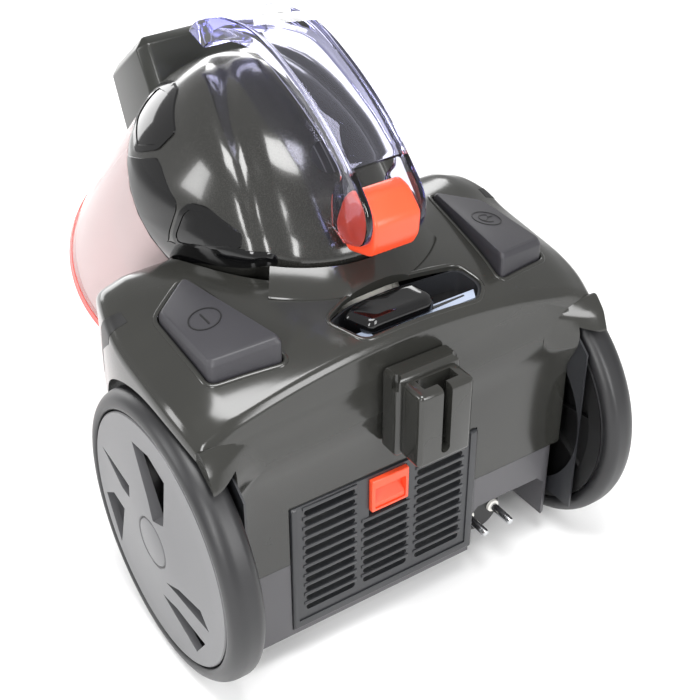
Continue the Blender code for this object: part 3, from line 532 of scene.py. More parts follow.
housing = {
    "shoulder": 6.0, "drop": 5.0, "rearFillet": 4.5, "wall": 2.5, "seam": 73.3, "sideX": 112.5,
    "wellRadius": 91.0, "frontY": -125.0, "rearY": 45.0,
    "stations": (
        (-125, 101, 122, 120), (-123, 103, 146, 145), (-117, 106.5, 165, 163), (-108, 111, 180, 178),
        (-95, 117, 194, 191), (-80, 122.5, 204, 202), (-60, 128, 210, 202), (-40, 131, 213, 195),
        (-12, 132, 211.5, 191), (13, 132, 208.5, 188), (30, 130.5, 204, 184), (45, 128, 199, 177),
    ),
}


def housingSize(y):
    return [smoothValue([(s[0], s[k]) for s in housing["stations"]], y) for k in (1, 2, 3)]


# The deck is an arch that turns down to straight flanks over its last seventh.
def archHeight(x, half, top, side):
    t = min(abs(x) / half, 1.0)
    knee = 6 / 7
    if t <= knee:
        return top + (side - top) * t * t
    start = top + (side - top) * knee * knee
    return start + (side - housing["drop"] - start) * (t - knee) / (1 - knee)


def deckHeight(x, y):
    return archHeight(x, *housingSize(y))


def housingBlock(name, inset, floor, rear, front, shoulder):
    fillet = housing["rearFillet"]
    spots = [(front + (rear - fillet - front) * k / 64, 0.0) for k in range(65)]
    for k in range(1, 9):
        a = math.pi / 2 * k / 8
        spots.append((rear - fillet + fillet * math.sin(a), fillet * (1 - math.cos(a))))
    rings = []
    for y, extra in spots:
        half, top, side = (v - inset - extra for v in housingSize(y))

        def ridge(x):
            return archHeight(x, half, top, side)

        flat = half - shoulder
        right = []
        for k in range(9):
            t = k / 8
            a, b = Vector((flat, ridge(flat))), Vector((half, ridge(half)))
            c = Vector((half, ridge(half) - shoulder))
            spot = (1 - t) ** 2 * a + 2 * t * (1 - t) * b + t * t * c
            right.append((spot.x, spot.y))
        middle = [(flat * k / 20, ridge(flat * k / 20)) for k in range(-19, 20)]
        profile = [(-half, floor)] + [(-x, z) for x, z in reversed(right)] + middle + right + [(half, floor)]
        rings.append([(x, y, z) for x, z in profile])
    return loftRings(name, rings)


def wheelWells(grow):
    r = housing["wellRadius"] + grow
    x = housing["sideX"] - grow
    return [makeRod("well", r, (s * x, 0, axleZ), (s * 150, 0, axleZ), 96) for s in (1, -1)]


pedal = {
    "innerX": 83.0, "outerX": 107.5, "rearInnerX": 69.5, "y": (-53.0, -36.0, 20.0, 30.0), "topZ": 205.5,
    "skirtZ": 189.0, "slope": 0.2, "hole": 0.8, "markAt": (92, -12), "markRadius": 8.5,
    "edge": ((0, -3.4), (0.3, -2.7), (1.6, -0.8), (2.1, -0.3), (2.9, 0)),
}


def pedalOutline(side, grow):
    front, frontOuter, rearOuter, rear = pedal["y"]
    corners = [
        (pedal["innerX"] - grow, front - grow), (pedal["outerX"] + grow, frontOuter - grow),
        (pedal["outerX"] + grow, rearOuter + grow), (pedal["rearInnerX"] - grow, rear + grow),
    ]
    return [(side * x, y) for x, y in corners]


def pedalTop(x):
    return pedal["topZ"] + (pedal["outerX"] - abs(x)) * pedal["slope"]


slider = {
    "opening": [(38, 20), (27, 39), (-48, 39), (-56, 30), (-50, 14.5), (-10, 11), (20, 12)],
    "tray": [(41, 20), (29, 41.5), (-51, 41.5), (-60, 30), (-53, 12), (-10, 8.5), (22, 9.5)],
    "knob": [(29, 21), (21, 36), (-18, 36), (-23, 31), (-20, 16), (-2, 14), (19, 15)],
    "trayZ": (188.0, 190.5), "knobZ": (191.0, 207.0),
}
outletPoint = Vector((0, -22.0, 189.5))
outletDirection = Vector((0, math.cos(math.radians(-45)), math.sin(math.radians(-45))))

upper = housingBlock(
    "upperHousing", 0.0, housing["seam"], housing["rearY"], housing["frontY"], housing["shoulder"]
)
# A raised collar runs round the back of the lid: its section as growth and height, over its half angle.
lidCollar = {
    "halfAngle": 36, "nose": 113,
    "section": (
        (-6, 190), (-6, 220.4), (-5.4, 221), (2, 221), (3.2, 220.2), (15.4, 209.6), (16, 208.6), (16, 190),
    ),
}
collarRings = []
for k in range(49):
    a = math.radians(lidCollar["halfAngle"] * (k / 24 - 1))
    ring = []
    for grow, z in lidCollar["section"]:
        spot = (radius + grow) * math.sin(a), rimCentre.y + (lidCollar["nose"] + grow) * math.cos(a), z
        ring.append(spot)
    collarRings.append(ring)
fuse(upper, loftRings("collar", collarRings))
# The rear corners swell from flush with the rear wall into fenders over the tyres.
fender = {
    "profile": ((40, 172), (45, 176), (53, 168), (58, 156), (57, 148), (45, 128), (40, 128)),
    "start": 92, "width": 36.6, "flush": 0.3, "steps": 18, "rootY": 40,
}
for s in (1, -1):
    tab = roundProfile(fender["profile"], 3)
    rings = []
    for k in range(fender["steps"] + 1):
        t = k / fender["steps"]
        reach = fender["flush"] + (1 - fender["flush"]) * t * t * (3 - 2 * t)
        x, root = s * (fender["start"] + fender["width"] * t), fender["rootY"]
        rings.append([(x, root + (y - root) * reach, z) for y, z in tab])
    fuse(upper, loftRings("tab", rings))
wall = housing["wall"]
room = housingBlock("room", wall, 67.0, housing["rearY"] - wall, housing["frontY"] + wall, housing["shoulder"])
cutAway(room, binRoom("trough", bin_["clearance"] + wall), *wheelWells(wall))
cutAway(upper, room, binRoom("opening", bin_["clearance"]), *wheelWells(0.0))
for s in (1, -1):
    cutAway(upper, extrude("hole", roundProfile(pedalOutline(s, pedal["hole"]), 4.5), "z", 170, 230))
    cutAway(upper, makeRod("axleHole", 7.5, (s * 100, 0, axleZ), (s * 118, 0, axleZ)))
cutAway(upper, extrude("sliderHole", roundProfile(slider["opening"], 5), "z", 185, 220))
cutAway(upper, makeBox("grilleHole", (-47.3, 38, 60), (79.3, 60, 113.3)))
outletEnds = outletPoint - 8 * outletDirection, outletPoint + 12 * outletDirection
cutAway(upper, makeRod("outletHole", 20.3, *outletEnds))
finishPiece(upper, "chassis", absGraphite, ["upper_housing"])


# The opening's raised lip follows the deck.
def makeLip(name, outline, lift, width):
    loop = roundProfile(outline, 5, steps=6)
    centre = sum((Vector(p) for p in loop), Vector((0, 0))) / len(loop)
    rings = []
    dense = []
    for i, point in enumerate(loop):
        a, b = Vector(point), Vector(loop[(i + 1) % len(loop)])
        parts = max(1, int((b - a).length / 4))
        dense += [a + (b - a) * k / parts for k in range(parts)]
    count = len(dense)
    for i, spot in enumerate(dense):
        ahead = dense[(i + 1) % count] - dense[i - 1]
        normal = Vector((ahead.y, -ahead.x)).normalized()
        if normal.dot(spot - centre) < 0:
            normal = -normal
        ring = []
        for k in range(7):
            t = math.pi * k / 6
            off = spot + normal * (width * (1 - math.cos(t)) / 2 + 0.05)
            ring.append((off.x, off.y, deckHeight(off.x, off.y) + lift * math.sin(t)))
        ring += [(ring[6][0], ring[6][1], ring[6][2] - 1.2), (ring[0][0], ring[0][1], ring[0][2] - 1.2)]
        rings.append(ring)
    return loftRings(name, rings, closed=True)


for s, word in ((1, "Left"), (-1, "Right")):
    lip = makeLip(f"pedalLip{word}", pedalOutline(s, pedal["hole"]), 0.8, 2.6)
    finishPiece(lip, "chassis", absGraphite)
finishPiece(makeLip("sliderLip", slider["opening"], 0.9, 2.2), "chassis", absGraphite)

# Painted shade: a dull black strip beside the bin, on both flanks, where the gap between the shoulder and the
# fender lies in shadow.
shadowGapOutline = [(-40, 213), (-53, 183), (-77, 163), (-95, 123), (-71, 182), (-56, 198)]
for s, word in ((1, "Left"), (-1, "Right")):
    inlay = extrude(f"sideSlit{word}", shadowGapOutline, "x", *sorted((s * 120, s * 140)))
    keepInside(inlay, housingBlock("skin", -0.15, 73.4, 45.1, -125.1, housing["shoulder"]))
    cutAway(inlay, housingBlock("core", 0.6, 60, 44.0, -124.0, housing["shoulder"]))
    if len(inlay.data.polygons):
        finishPiece(inlay, "chassis", absBlackAndPaintedShade)
    else:
        bpy.data.objects.remove(inlay)
print("upper housing made")

base_ = {"clearance": 14.0, "seam": 73.0, "wall": 2.5}


def baseBlock(name, inset, top):
    x = housing["sideX"]
    half = [
        (106 - inset, 45 - inset), (x - inset, 38 - inset), (x - inset, -92), (100 - inset, -125),
        (76 - inset, -190), (54 - inset, -248 + inset), (44 - inset, -258 + inset),
    ]
    plan = half + [(-px, py) for px, py in reversed(half)]
    low = base_["clearance"] + inset
    side = [
        (60, low + 4), (-100, low), (-240, low), (-270, low + 12), (-270, 40 - inset), (-166, 40 - inset),
        (-125, top), (60, top),
    ]
    block = extrude(name, roundProfile(plan, 6), "z", low, 100)
    return keepInside(block, extrude("side", side, "x", -140, 140))


base = baseBlock("baseChassis", 0.0, base_["seam"])
baseRoom = baseBlock("baseRoom", base_["wall"], 90.0)
trough = binRoom("baseTrough", bin_["clearance"] + base_["wall"])
cutAway(baseRoom, trough, makeRod("pocket", 36.5, (0, -222, 0), (0, -222, 90), 64))
cutAway(baseRoom, makeBox("recessWall", (-106.5, -2.5, 0), (-43.5, 60, 52.5)))
cutAway(base, baseRoom)
for s in (1, -1):
    fuse(base, makeBox("pillar", (min(s * 97, s * 109), -28, 15), (max(s * 97, s * 109), 14, 112)))
cutAway(base, binRoom("baseOpening", bin_["clearance"]))
cutAway(base, makeRod("casterRoom", 34, (0, -222, 0), (0, -222, 35), 64))
cutAway(base, makeRod("stemHole", 3.8, (0, -222, 30), (0, -222, 41), 32))
for s in (1, -1):
    cutAway(base, makeRod("axleSeat", 6.3, (s * 90, 0, axleZ), (s * 120, 0, axleZ)))
cutAway(base, makeRod("reelSeat", 8.3, (-115, -15, 100), (-90, -15, 100), 32))
recess = [(-104, 0), (-104, 44), (-98, 50), (-52, 50), (-46, 44), (-46, 0)]
cutAway(base, extrude("recess", recess, "y", 0, 60))
cutAway(base, makeBox("grilleNotch", (-47.3, 38, 21.7), (79.3, 60, 90)))
cutAway(base, makeRod("cordHole", 5, (-63, -8, 33), (-63, 6, 33), 32))
finishPiece(base, "chassis", absGreySatin, ["base_chassis"])
# The wheel wells' dark liners.
for s, word in ((1, "Left"), (-1, "Right")):
    section = [(60, 0), (85, 0), (85, 1.2), (60, 1.2)]
    ring = lathe(f"wellRing{word}", section, (s * 112.6, 0, axleZ), (s, 0, 0), 96)
    keep = housingBlock("wellKeep", -20, 30, 60, -120, housing["shoulder"])
    keepInside(ring, keep)
    finishPiece(ring, "chassis", absDarkSatin)
print("base made")

grille = {
    "low": (-47.0, 40.5, 22.0), "high": (79.0, 47.0, 113.0), "pitch": 7.1, "slot": 4.2, "firstSlot": 12,
    "columns": ((37.5, 70.5, 11, "Left"), (-36.5, -4.5, 11, "Right"), (1.5, 32.0, 7, "Middle")),
}
slotZ = grille["low"][2] + grille["firstSlot"]
upStep = ((0, 0, 0), (0, 0, grille["pitch"]))
panel = makeBox("rearGrille", grille["low"], grille["high"])
roundEdges(panel, 1.6, 4)
# A shallow well around the slots leaves a frame.
well = makeBox("frameWell", (-41.5, 46.2, 28), (75.5, 50, 118))
cutAway(panel, well)


def slotAt(x0, x1, z):
    h = grille["slot"] / 2
    outline = []
    for k in range(9):
        a = math.pi / 2 - math.pi * k / 8
        outline.append((x1 - h + h * math.cos(a), z + h + h * math.sin(a)))
    for k in range(9):
        a = -math.pi / 2 - math.pi * k / 8
        outline.append((x0 + h + h * math.cos(a), z + h + h * math.sin(a)))
    return extrude("slot", outline, "y", 38, 52)


for x0, x1, rows, _ in grille["columns"]:
    slot = slotAt(x0, x1, slotZ)
    cutAway(panel, repeatInRows("slotColumn", slot, absDarkSatin, (1, rows), upStep))
cutAway(panel, makeBox("latchHole", (2.7, 38, 83.7), (28.3, 50, 110.8)))
finishPiece(panel, "grille", absDarkSatin, ["rear_grille"], 30)
# Each slot's raised lip.
for x0, x1, rows, word in grille["columns"]:
    bar = makeBox("bar", (x0 - 1.2, 46.1, slotZ + 4.5), (x1 + 1.2, 46.9, slotZ + 6.8))
    roundEdges(bar, 0.35, 2)
    bars = repeatInRows(f"grilleBars{word}", bar, absDarkSatin, (1, rows), upStep)
    finishPiece(bars, "grille", absDarkSatin)

latch = makeBox("grilleLatch", (3, 41.5, 88), (28, 49, 110.5))
roundEdges(latch, 0.9, 3)
cutAway(latch, roundEdges(makeBox("dip", (5.2, 43.5, 90), (25.8, 60, 105)), 1.2, 3))
shelfSection = [(41.6, 90.5), (48.2, 90.5), (48.2, 93.5), (43.4, 98.5), (41.6, 98.5)]
shelf = extrude("shelf", shelfSection, "x", 5.5, 25.5)
fuse(latch, shelf, makeBox("ledge", (8, 42, 106.5), (23, 48.6, 107.6)))
finishPiece(latch, "latch", absOrange, ["grille_latch"])

socketBack = extrude("parkingSocket", [(-21, 132), (21, 132), (21, 184), (-21, 184)], "y", 45.3, 60)
roundEdges(socketBack, 3.0, 4)
front = makeBox("front", (-17.5, 58, 133), (17.5, 76, 181))
roundEdges(front, 3.0, 4)
fuse(socketBack, front)
cutAway(socketBack, makeBox("ribSlot", (-2.8, 66, 141), (2.8, 90, 200)))
cutAway(socketBack, makeRod("slotEnd", 2.8, (0, 66, 141), (0, 90, 141), 32))
cutAway(socketBack, makeBox("ribRoom", (-11, 62, 139), (11, 70, 200)))
for x in (-19.5, 19.5):
    cutAway(socketBack, makeRod("notch", 2.5, (x, 57, 176), (x, 57, 190), 24))
finishPiece(socketBack, "chassis", absGraphite, ["parking_socket"])
print("rear panel made")

for s, word, body in ((1, "power", "power_pedal"), (-1, "rewind", "rewind_pedal")):
    outline = roundProfile(pedalOutline(s, 0.0), 4.0, 5)
    middle = sum((Vector(p) for p in outline), Vector((0, 0))) / len(outline)

    def layer(shrink, z, sloped):
        ring = []
        for x, y in outline:
            out = Vector((x, y)) - middle
            spot = middle + out * (1 - shrink / out.length)
            ring.append((spot.x, spot.y, pedalTop(spot.x) + z if sloped else z))
        return ring

    rings = [layer(0, pedal["skirtZ"], False)] + [layer(shrink, z, True) for shrink, z in pedal["edge"]]
    key = loftRings(f"{word}Pedal", rings)
    pin = makeRod("pin", 2.6, (s * 92, -4, 167), (s * 92, -4, 195), 32)
    fuse(key, pin)
    finishPiece(key, body, absPedal, [body], 25)
    # A plain ring with a bar, or with a looped lead, stands a hair above the key.
    cx, cy = s * pedal["markAt"][0], pedal["markAt"][1]

    def onKey(u, v, lift=0.0):
        return (cx + u, cy + v, pedalTop(cx + u) + lift)

    def inkStroke(name, path, closed, width=0.7):
        rings = []
        n = len(path)
        for i in range(n):
            a = path[i - 1] if closed or i else path[0]
            b = path[(i + 1) % n] if closed or i < n - 1 else path[-1]
            d = Vector((b[0] - a[0], b[1] - a[1])).normalized()
            w = Vector((-d.y, d.x)) * width / 2
            p, q = Vector(path[i]) + w, Vector(path[i]) - w
            rings.append([onKey(e.x, e.y, lift) for e, lift in ((p, -0.2), (p, 0.28), (q, 0.28), (q, -0.2))])
        return loftRings(name, rings, closed=closed)

    r = pedal["markRadius"]
    circle = [(r * math.cos(2 * math.pi * k / 64), r * math.sin(2 * math.pi * k / 64)) for k in range(64)]
    marks = [inkStroke(f"{word}Mark", circle, True)]
    if s > 0:
        marks.append(inkStroke("bar", [(0, -5), (0, 5)], False, 0.9))
    else:
        turns = [math.radians(-130 + 10 * k) for k in range(25)]
        arc = [(4.6 * math.cos(a), 4.6 * math.sin(a)) for a in turns]
        marks += [inkStroke("lead", arc, False), inkStroke("head", [(-1, 0), (2.5, 2.8), (4.4, 0.6)], False)]
        marks.append(inkStroke("prong", [(-5.5, -2), (-1.5, -1.2)], False))
    for n, mark in enumerate(marks):
        mark.name = f"{word}Mark{n}"
        finishPiece(mark, body, absBlackAndPaintedShade)
print("pedals made")

tray = extrude("sliderTray", roundProfile(slider["tray"], 5), "z", *slider["trayZ"])
cutAway(tray, makeBox("traySlot", (-24, 26, 180), (12, 30, 200)))
finishPiece(tray, "chassis", absBlackAndPaintedShade, ["slider_tray"])
sliderWall = extrude("sliderWell", roundProfile(slider["opening"], 5), "z", 190.6, 203)
inside = [(x * 0.965 - 0.3, 26 + (y - 26) * 0.92) for x, y in slider["opening"]]
cutAway(sliderWall, extrude("wellRoom", roundProfile(inside, 5), "z", 180, 220))
keepInside(sliderWall, housingBlock("underDeck", 1.0, 100, 44, -120, housing["shoulder"]))
finishPiece(sliderWall, "chassis", absDarkSatin)
plate = extrude("powerScale", [(-50, 30.6), (-46, 37.6), (25, 37.6), (29, 30.6)], "z", 190.7, 198.6)
finishPiece(plate, "chassis", labelBlue)
ramp = extrude("scaleRamp", [(-42, 32), (-42, 33.2), (20, 36.6), (20, 32)], "z", 198.6, 198.75)
finishPiece(ramp, "chassis", absBlackAndPaintedShade)
plainRing = roundProfile(slider["knob"], 3.5, 6)
centre = sum((Vector(p) for p in plainRing), Vector((0, 0))) / len(plainRing)
knobRings = []
for shrink, z in ((0, 191.2), (0, 203.0), (0.7, 204.6), (2.2, 206.2), (4.2, 207), (9, 206.8)):
    knobRings.append([
        (*(centre + (Vector(p) - centre) * (1 - shrink / (Vector(p) - centre).length)), z) for p in plainRing
    ])
knob = loftRings("powerSlider", knobRings)
cutAway(knob, makeBox("plateRoom", (-40, 29.9, 180), (40, 50, 199.4)))
fuse(knob, makeBox("stem", (1, 26.5, 183), (11, 29.5, 195)))
finishPiece(knob, "power_slider", absBlackGloss, ["power_slider"], 40)
print("slider made")

wheel = {"innerX": 116.0, "capX": 135.4, "grooveX": 138.4, "ribs": 10, "ribTurn": 0.2, "ribHalf": 0.7}
tyreCorners = [
    (75.3, 2), (79, 0.2), (83, 1), (86, 4.5), (86, 13), (84.6, 17), (81.5, 20.2), (78, 21), (75.9, 20.4),
    (75.3, 18),
]
tyreProfile = roundProfile(tyreCorners, 2.2, 4)
rimProfile = [
    (6.3, 2), (12, 2), (12, 17), (66, 16.4), (66, 2), (74.6, 2), (74.6, 19.6), (73.9, 20.3), (66, 20.3),
    (60, 20.5), (30, 22.2), (20, 23.3), (15.8, 23.5), (15.3, 23), (15.3, 19.3), (6.3, 19.3),
]
windows = (
    ((57, 27), (72, 57), (90, 60), (109, 60), (78, 19)),
    ((143, 34), (161, 68), (164, 40), (158, 30)),
    ((185, 54), (192, 68), (219, 68), (204, 48), (188, 39)),
    ((275, 38), (305, 66), (323, 62), (300, 40)),
    ((300, 24), (338, 60), (346, 50), (330, 30)),
)
blades = (
    ((340, 26), (358, 63), (18, 63), (2, 30)),
    ((118, 24), (128, 62), (140, 62), (136, 28)),
    ((232, 24), (246, 62), (262, 62), (250, 28)),
)
capProfile = [(0, 0), (14.5, 0), (14.5, 3.5), (14.1, 4), (13.2, 4.3), (0, 4.6)]
grooveProfile = [(14.6, 0), (15.2, 0), (15.2, 0.7), (14.6, 0.7)]
linerProfile = [
    (12.6, 11.4), (65.6, 5.4), (65.6, 1.6), (75, 1.6), (75, 1), (64.8, 1), (64.8, 4.4), (12.6, 10.4),
]


def polar(a, r, shrink=0.0, centre=(0, 0)):
    y, z = r * math.cos(math.radians(a)), r * math.sin(math.radians(a))
    return y + (centre[0] - y) * shrink, z + (centre[1] - z) * shrink


for s, word in ((1, "left"), (-1, "right")):
    body = f"{word}_wheel"
    start = (s * wheel["innerX"], 0, axleZ)
    tyre = lathe(f"{word}Tyre", tyreProfile, start, (s, 0, 0), 160)
    finishPiece(tyre, body, tpeTyre, [f"{word}_tyre"])
    rim = lathe(f"{word}Rim", rimProfile, start, (s, 0, 0), 160)
    for outline in windows:
        flat = [polar(a, r) for a, r in outline]
        mid = (sum(p[0] for p in flat) / len(flat), sum(p[1] for p in flat) / len(flat))
        near = [polar(a, r, 0.0, mid) for a, r in outline]
        far = [polar(a, r, 0.1, mid) for a, r in outline]
        depths = ((110, far), (125, far), (137.5, near), (145, near))
        rings = [[(s * x, y, axleZ + z) for y, z in spots] for x, spots in depths]
        cutAway(rim, loftRings("window", rings))
    for outline in blades:
        spots = [polar(a, r) for a, r in outline]
        points = [(s * 131, y, axleZ + z) for y, z in spots]
        points += [(s * x, y, axleZ + z) for x, (y, z) in zip((136.2, 136.4, 132.8, 133.6), spots)]
        faces = [(0, 1, 2, 3), (4, 5, 6, 7), (0, 1, 5, 4), (1, 2, 6, 5), (2, 3, 7, 6), (3, 0, 4, 7)]
        fuse(rim, makeMesh("blade", points, faces))
    finishPiece(rim, body, absRim, [f"{word}_rim"], 20)
    cap = lathe(f"{word}HubCap", capProfile, (s * wheel["capX"], 0, axleZ), (s, 0, 0), 96)
    finishPiece(cap, body, absRim, [f"{word}_hub_cap"])
    # A thin black ring round each hub cap: painted shade in the groove between the cap and the disc.
    capGapShade = lathe(f"{word}HubGroove", grooveProfile, (s * wheel["grooveX"], 0, axleZ), (s, 0, 0), 96)
    finishPiece(capGapShade, body, absBlackAndPaintedShade)
    back = lathe(f"{word}WheelBack", linerProfile, start, (s, 0, 0), 96)
    for k in range(wheel["ribs"]):
        a = 2 * math.pi * k / wheel["ribs"] + wheel["ribTurn"]
        u, v = Vector((0, math.cos(a), math.sin(a))), Vector((0, -math.sin(a), math.cos(a))) * wheel["ribHalf"]
        inner, outer = Vector((0, 0, axleZ)) + 16 * u, Vector((0, 0, axleZ)) + 64.9 * u
        corners = ((inner, 121), (outer, 118), (outer, 121.5), (inner, 127))
        rings = [[p + side + Vector((s * x, 0, 0)) for p, x in corners] for side in (v, -v)]
        fuse(back, loftRings("rib", rings))
    finishPiece(back, body, absBlackAndPaintedShade)
print("wheels made")

def alongBin(distance):
    return binStart + distance * binAxis


cupWall = [(radius - 3, 4.3), (radius - 0.3, 4.3), (radius - 0.3, 155.9), (radius - 3, 155.9)]
cup = lathe("binCup", roundProfile(cupWall, 0.6), binStart, binAxis, 160)
finishPiece(cup, "bin", clearBin, ["bin_cup"])
flapProfile = [
    (0, -6), (radius - 4, -6), (radius - 1.2, -5), (radius, -3.4), (radius, 4), (radius - 4, 4),
    (radius - 4, -1), (0, -1),
]
flap = lathe("binFlap", flapProfile, binStart, binAxis, 160)
finishPiece(flap, "bin_flap", redBin, ["bin_flap"])
shroudProfile = roundProfile([(54, 0), (63, 0), (63, 4), (58, 12), (58, 84), (54, 84)], 1.2)
shroud = lathe("cycloneShroud", shroudProfile, alongBin(62), binAxis, 96)
finishPiece(shroud, "bin", absShroud, ["cyclone_shroud"])
coneProfile = [(10, 0), (13, 0), (31, 60), (31, 128), (28, 128), (28, 60)]
cone = lathe("cycloneCone", coneProfile, alongBin(20), binAxis, 96)
finishPiece(cone, "bin", redBin, ["cyclone_cone"])
print("bin made")

lid = lidShell("domeLid", 0.0, -2.5, 1.0)
cutAway(lid, makeRod("lidOutlet", 15, outletPoint - 12 * outletDirection, outletPoint + 9 * outletDirection))
vent = {"spot": Vector((0, -37, 264)), "radius": 9.0}
ventDirection = (vent["spot"] - rimCentre).normalized()
finishPiece(lid, "bin", absFlake, ["dome_lid"])
ventEnds = vent["spot"] - 6 * ventDirection, vent["spot"] + 6 * ventDirection
# A black disc in the lid skin under the bars: painted shade where the vent holes are.
ventWell = makeRod("ventWell", vent["radius"], *ventEnds, 64)
keepInside(ventWell, lidShell("ventSkin", 0.25, -0.6, 1.0))
finishPiece(ventWell, "bin", absBlackAndPaintedShade)
bar = makeBox("ventBar", (-5.0, vent["spot"].y - 12, 255), (-4.3, vent["spot"].y + 12, 275))
ventBars = repeatInRows("ventBars", bar, absGreySatin, (3, 1), ((4.65, 0, 0), (0, 0, 0)))
keepInside(ventBars, lidShell("barSkin", 0.5, -0.6, 1.0))
keepInside(ventBars, makeRod("barEnds", vent["radius"] - 0.1, *ventEnds, 64))
finishPiece(ventBars, "bin", absGreySatin)

# The lid's gloss panels, as outlines seen from the side.
upperShield = [
    (-152, 273), (-138, 278), (-126, 279), (-102, 267), (-107, 257), (-127, 248), (-151, 257), (-154, 267),
]
lowerShield = [(-79, 218), (-76, 235), (-71, 241), (-61, 242), (-39, 233), (-36, 226), (-77, 214)]
sidePanel = [
    (-118, 248), (-106, 253), (-100, 251), (-80, 238), (-79, 234), (-84, 213), (-97, 203), (-124, 230),
    (-138, 241),
]
lowSkirt = [
    (-36, 226), (-23, 224), (-22, 218), (-38, 214), (-61, 208), (-91, 197), (-97, 203), (-84, 213), (-77, 214),
]


def inset(outline, amount):
    mid = sum((Vector(p) for p in outline), Vector((0, 0))) / len(outline)
    return [tuple(Vector(p) + (mid - Vector(p)).normalized() * amount) for p in outline]


def lidInlay(name, outline, outer, side, material, hole=None):
    piece = extrude(name, roundProfile(outline, 2.5), "x", *sorted((side * 15, side * 82)))
    keepInside(piece, lidShell("inlaySkin", outer, -1.0, 1.0))
    if hole:
        cutAway(piece, extrude("inlayHole", roundProfile(hole, 2.5), "x", *sorted((side * 10, side * 90))))
    return finishPiece(piece, "bin", material)


for s, word in ((1, "Left"), (-1, "Right")):
    lidInlay(f"upperShield{word}", upperShield, 0.9, s, absBlackGloss, inset(upperShield, 3.6))
    lidInlay(f"upperGlass{word}", inset(upperShield, 3.7), 0.35, s, absBlackGloss)
    lidInlay(f"lowerShield{word}", lowerShield, 0.9, s, absBlackGloss, inset(lowerShield, 3.2))
    lidInlay(f"lowerGlass{word}", inset(lowerShield, 3.3), 0.35, s, absBlackGloss)
    lidInlay(f"sidePanel{word}", sidePanel, 0.5, s, absBlackGloss)
    lidInlay(f"lowSkirt{word}", lowSkirt, 0.45, s, absBlackGloss)
print("lid made")

spout_ = {"halfWidth": 36.0, "top": Vector((0, -187, 288)), "front": Vector((0, -235, 249)), "bore": 17.5}
slant = spout_["front"] - spout_["top"]
portDirection = Vector((0, slant.z, -slant.y)).normalized()
outline = [(-187, 288), (-235, 249), (-205, 180), (-160, 220), (-171, 262)]
spout = extrude("inletSpout", outline, "x", -spout_["halfWidth"], spout_["halfWidth"])
roundEdges(spout, 6.0, 1)
roundEdges(spout, 1.2, 3, 20)
binSide = makeRod("binSide", radius + 0.3, alongBin(-40), alongBin(bin_["length"] + 0.5), 96)
cutAway(spout, binSide, lidShell("lidSide", 0.9))
middle = (spout_["top"] + spout_["front"]) / 2
boreEnds = middle + 10 * portDirection, middle - 60 * portDirection
cutAway(spout, makeRod("hoseBore", spout_["bore"], *boreEnds, 96))
finishPiece(spout, "bin", absSpout, ["inlet_spout"])
collarProfile = roundProfile([(14.5, 0), (17.2, 0), (17.2, 15), (14.5, 15)], 0.8)
collar = lathe("hoseCollar", collarProfile, middle - 16 * portDirection, portDirection, 96)
finishPiece(collar, "bin", absGreySatin, ["hose_collar"])

handleTop = [
    (-154, 298), (-142, 309), (-110, 321), (-74, 324), (-42, 315), (-12, 300), (12, 281), (27, 264), (24, 246),
    (6, 238),
]
handleUnder = [
    (-5, 243), (-5, 262), (3, 276), (-10, 287), (-22, 294), (-48, 305), (-76, 312.5), (-106, 309), (-128, 300),
    (-136, 294),
]
channel = [
    (-130, 290), (-128, 306), (-106, 316), (-74, 319), (-44, 310.5), (-15, 296), (7, 279), (17, 290),
    (45, 275), (45, 225), (-10, 225), (-10, 262), (-30, 272), (-50, 285), (-76, 292), (-106, 290),
]


# A curve through the points, each stretch cut into the same number of parts.
def smoothPath(points):
    parts = 5
    out = []
    for i in range(len(points) - 1):
        a, b = Vector(points[max(i - 1, 0)]), Vector(points[i])
        c, d = Vector(points[i + 1]), Vector(points[min(i + 2, len(points) - 1)])
        for k in range(parts):
            t = k / parts
            spot = 2 * b + (c - a) * t + (2 * a - 5 * b + 4 * c - d) * t * t + (3 * b - a - 3 * c + d) * t**3
            out.append(tuple(0.5 * spot))
    return out + [tuple(points[-1])]


handle = extrude("carryHandle", smoothPath(handleTop) + smoothPath(handleUnder), "x", -18.5, 18.5)
roundEdges(handle, 1.8, 4, 50)
roomOutline = smoothPath(channel[:7]) + channel[7:11] + smoothPath(channel[11:])
handleRoom = roundEdges(extrude("channel", roomOutline, "x", -15, 15), 1.0, 2, 50)
cutAway(handle, handleRoom, lidShell("lidTop", 0.9))
finishPiece(handle, "bin", polycarbonate, ["carry_handle"], 40)
buttonOutline = [
    (-4, 246), (2, 262), (9, 270), (18, 269), (29.5, 258.5), (28.5, 245), (24, 237), (4, 231), (-2, 237),
]
button = extrude("releaseButton", roundProfile(buttonOutline, 3), "x", -14.4, 14.4)
roundEdges(button, 2.4, 4, 50)
finishPiece(button, "release_button", absOrange, ["release_button"], 40)
print("handle made")

plug_ = {"x": -63, "y": 2.0, "z": 33, "pinOff": 9.5}
plugProfile = [(0, 0), (5, 0), (9, 6), (15.5, 14), (15.5, 30.4), (14.4, 32), (0, 32)]
plugPlace = plug_["x"], plug_["y"], plug_["z"]
plug = lathe("mainsPlug", roundProfile(plugProfile, 0.9, closed=False), plugPlace, (0, 1, 0), 96)
finishPiece(plug, "chassis", absBlackAndPaintedShade, ["mains_plug"])
for s, word in ((1, "left"), (-1, "right")):
    x, z = plug_["x"] + s * plug_["pinOff"], plug_["z"]
    pinProfile = [(0, 0), (2.4, 0), (2.4, 17.2), (1.9, 18.4), (0.9, 18.7), (0, 18.7)]
    pin = lathe(f"plugPin{word.title()}", pinProfile, (x, plug_["y"] + 32.3, z), (0, 1, 0), 32)
    finishPiece(pin, "chassis", steelPlated, [f"plug_pin_{word}"])
    sleeveProfile = [(2.45, 0), (4.2, 0), (4.0, 1.6), (2.45, 1.8)]
    sleeve = lathe(f"pinSleeve{word.title()}", sleeveProfile, (x, plug_["y"] + 32.1, z), (0, 1, 0), 32)
    finishPiece(sleeve, "chassis", ceramicWhite)
print("plug made")

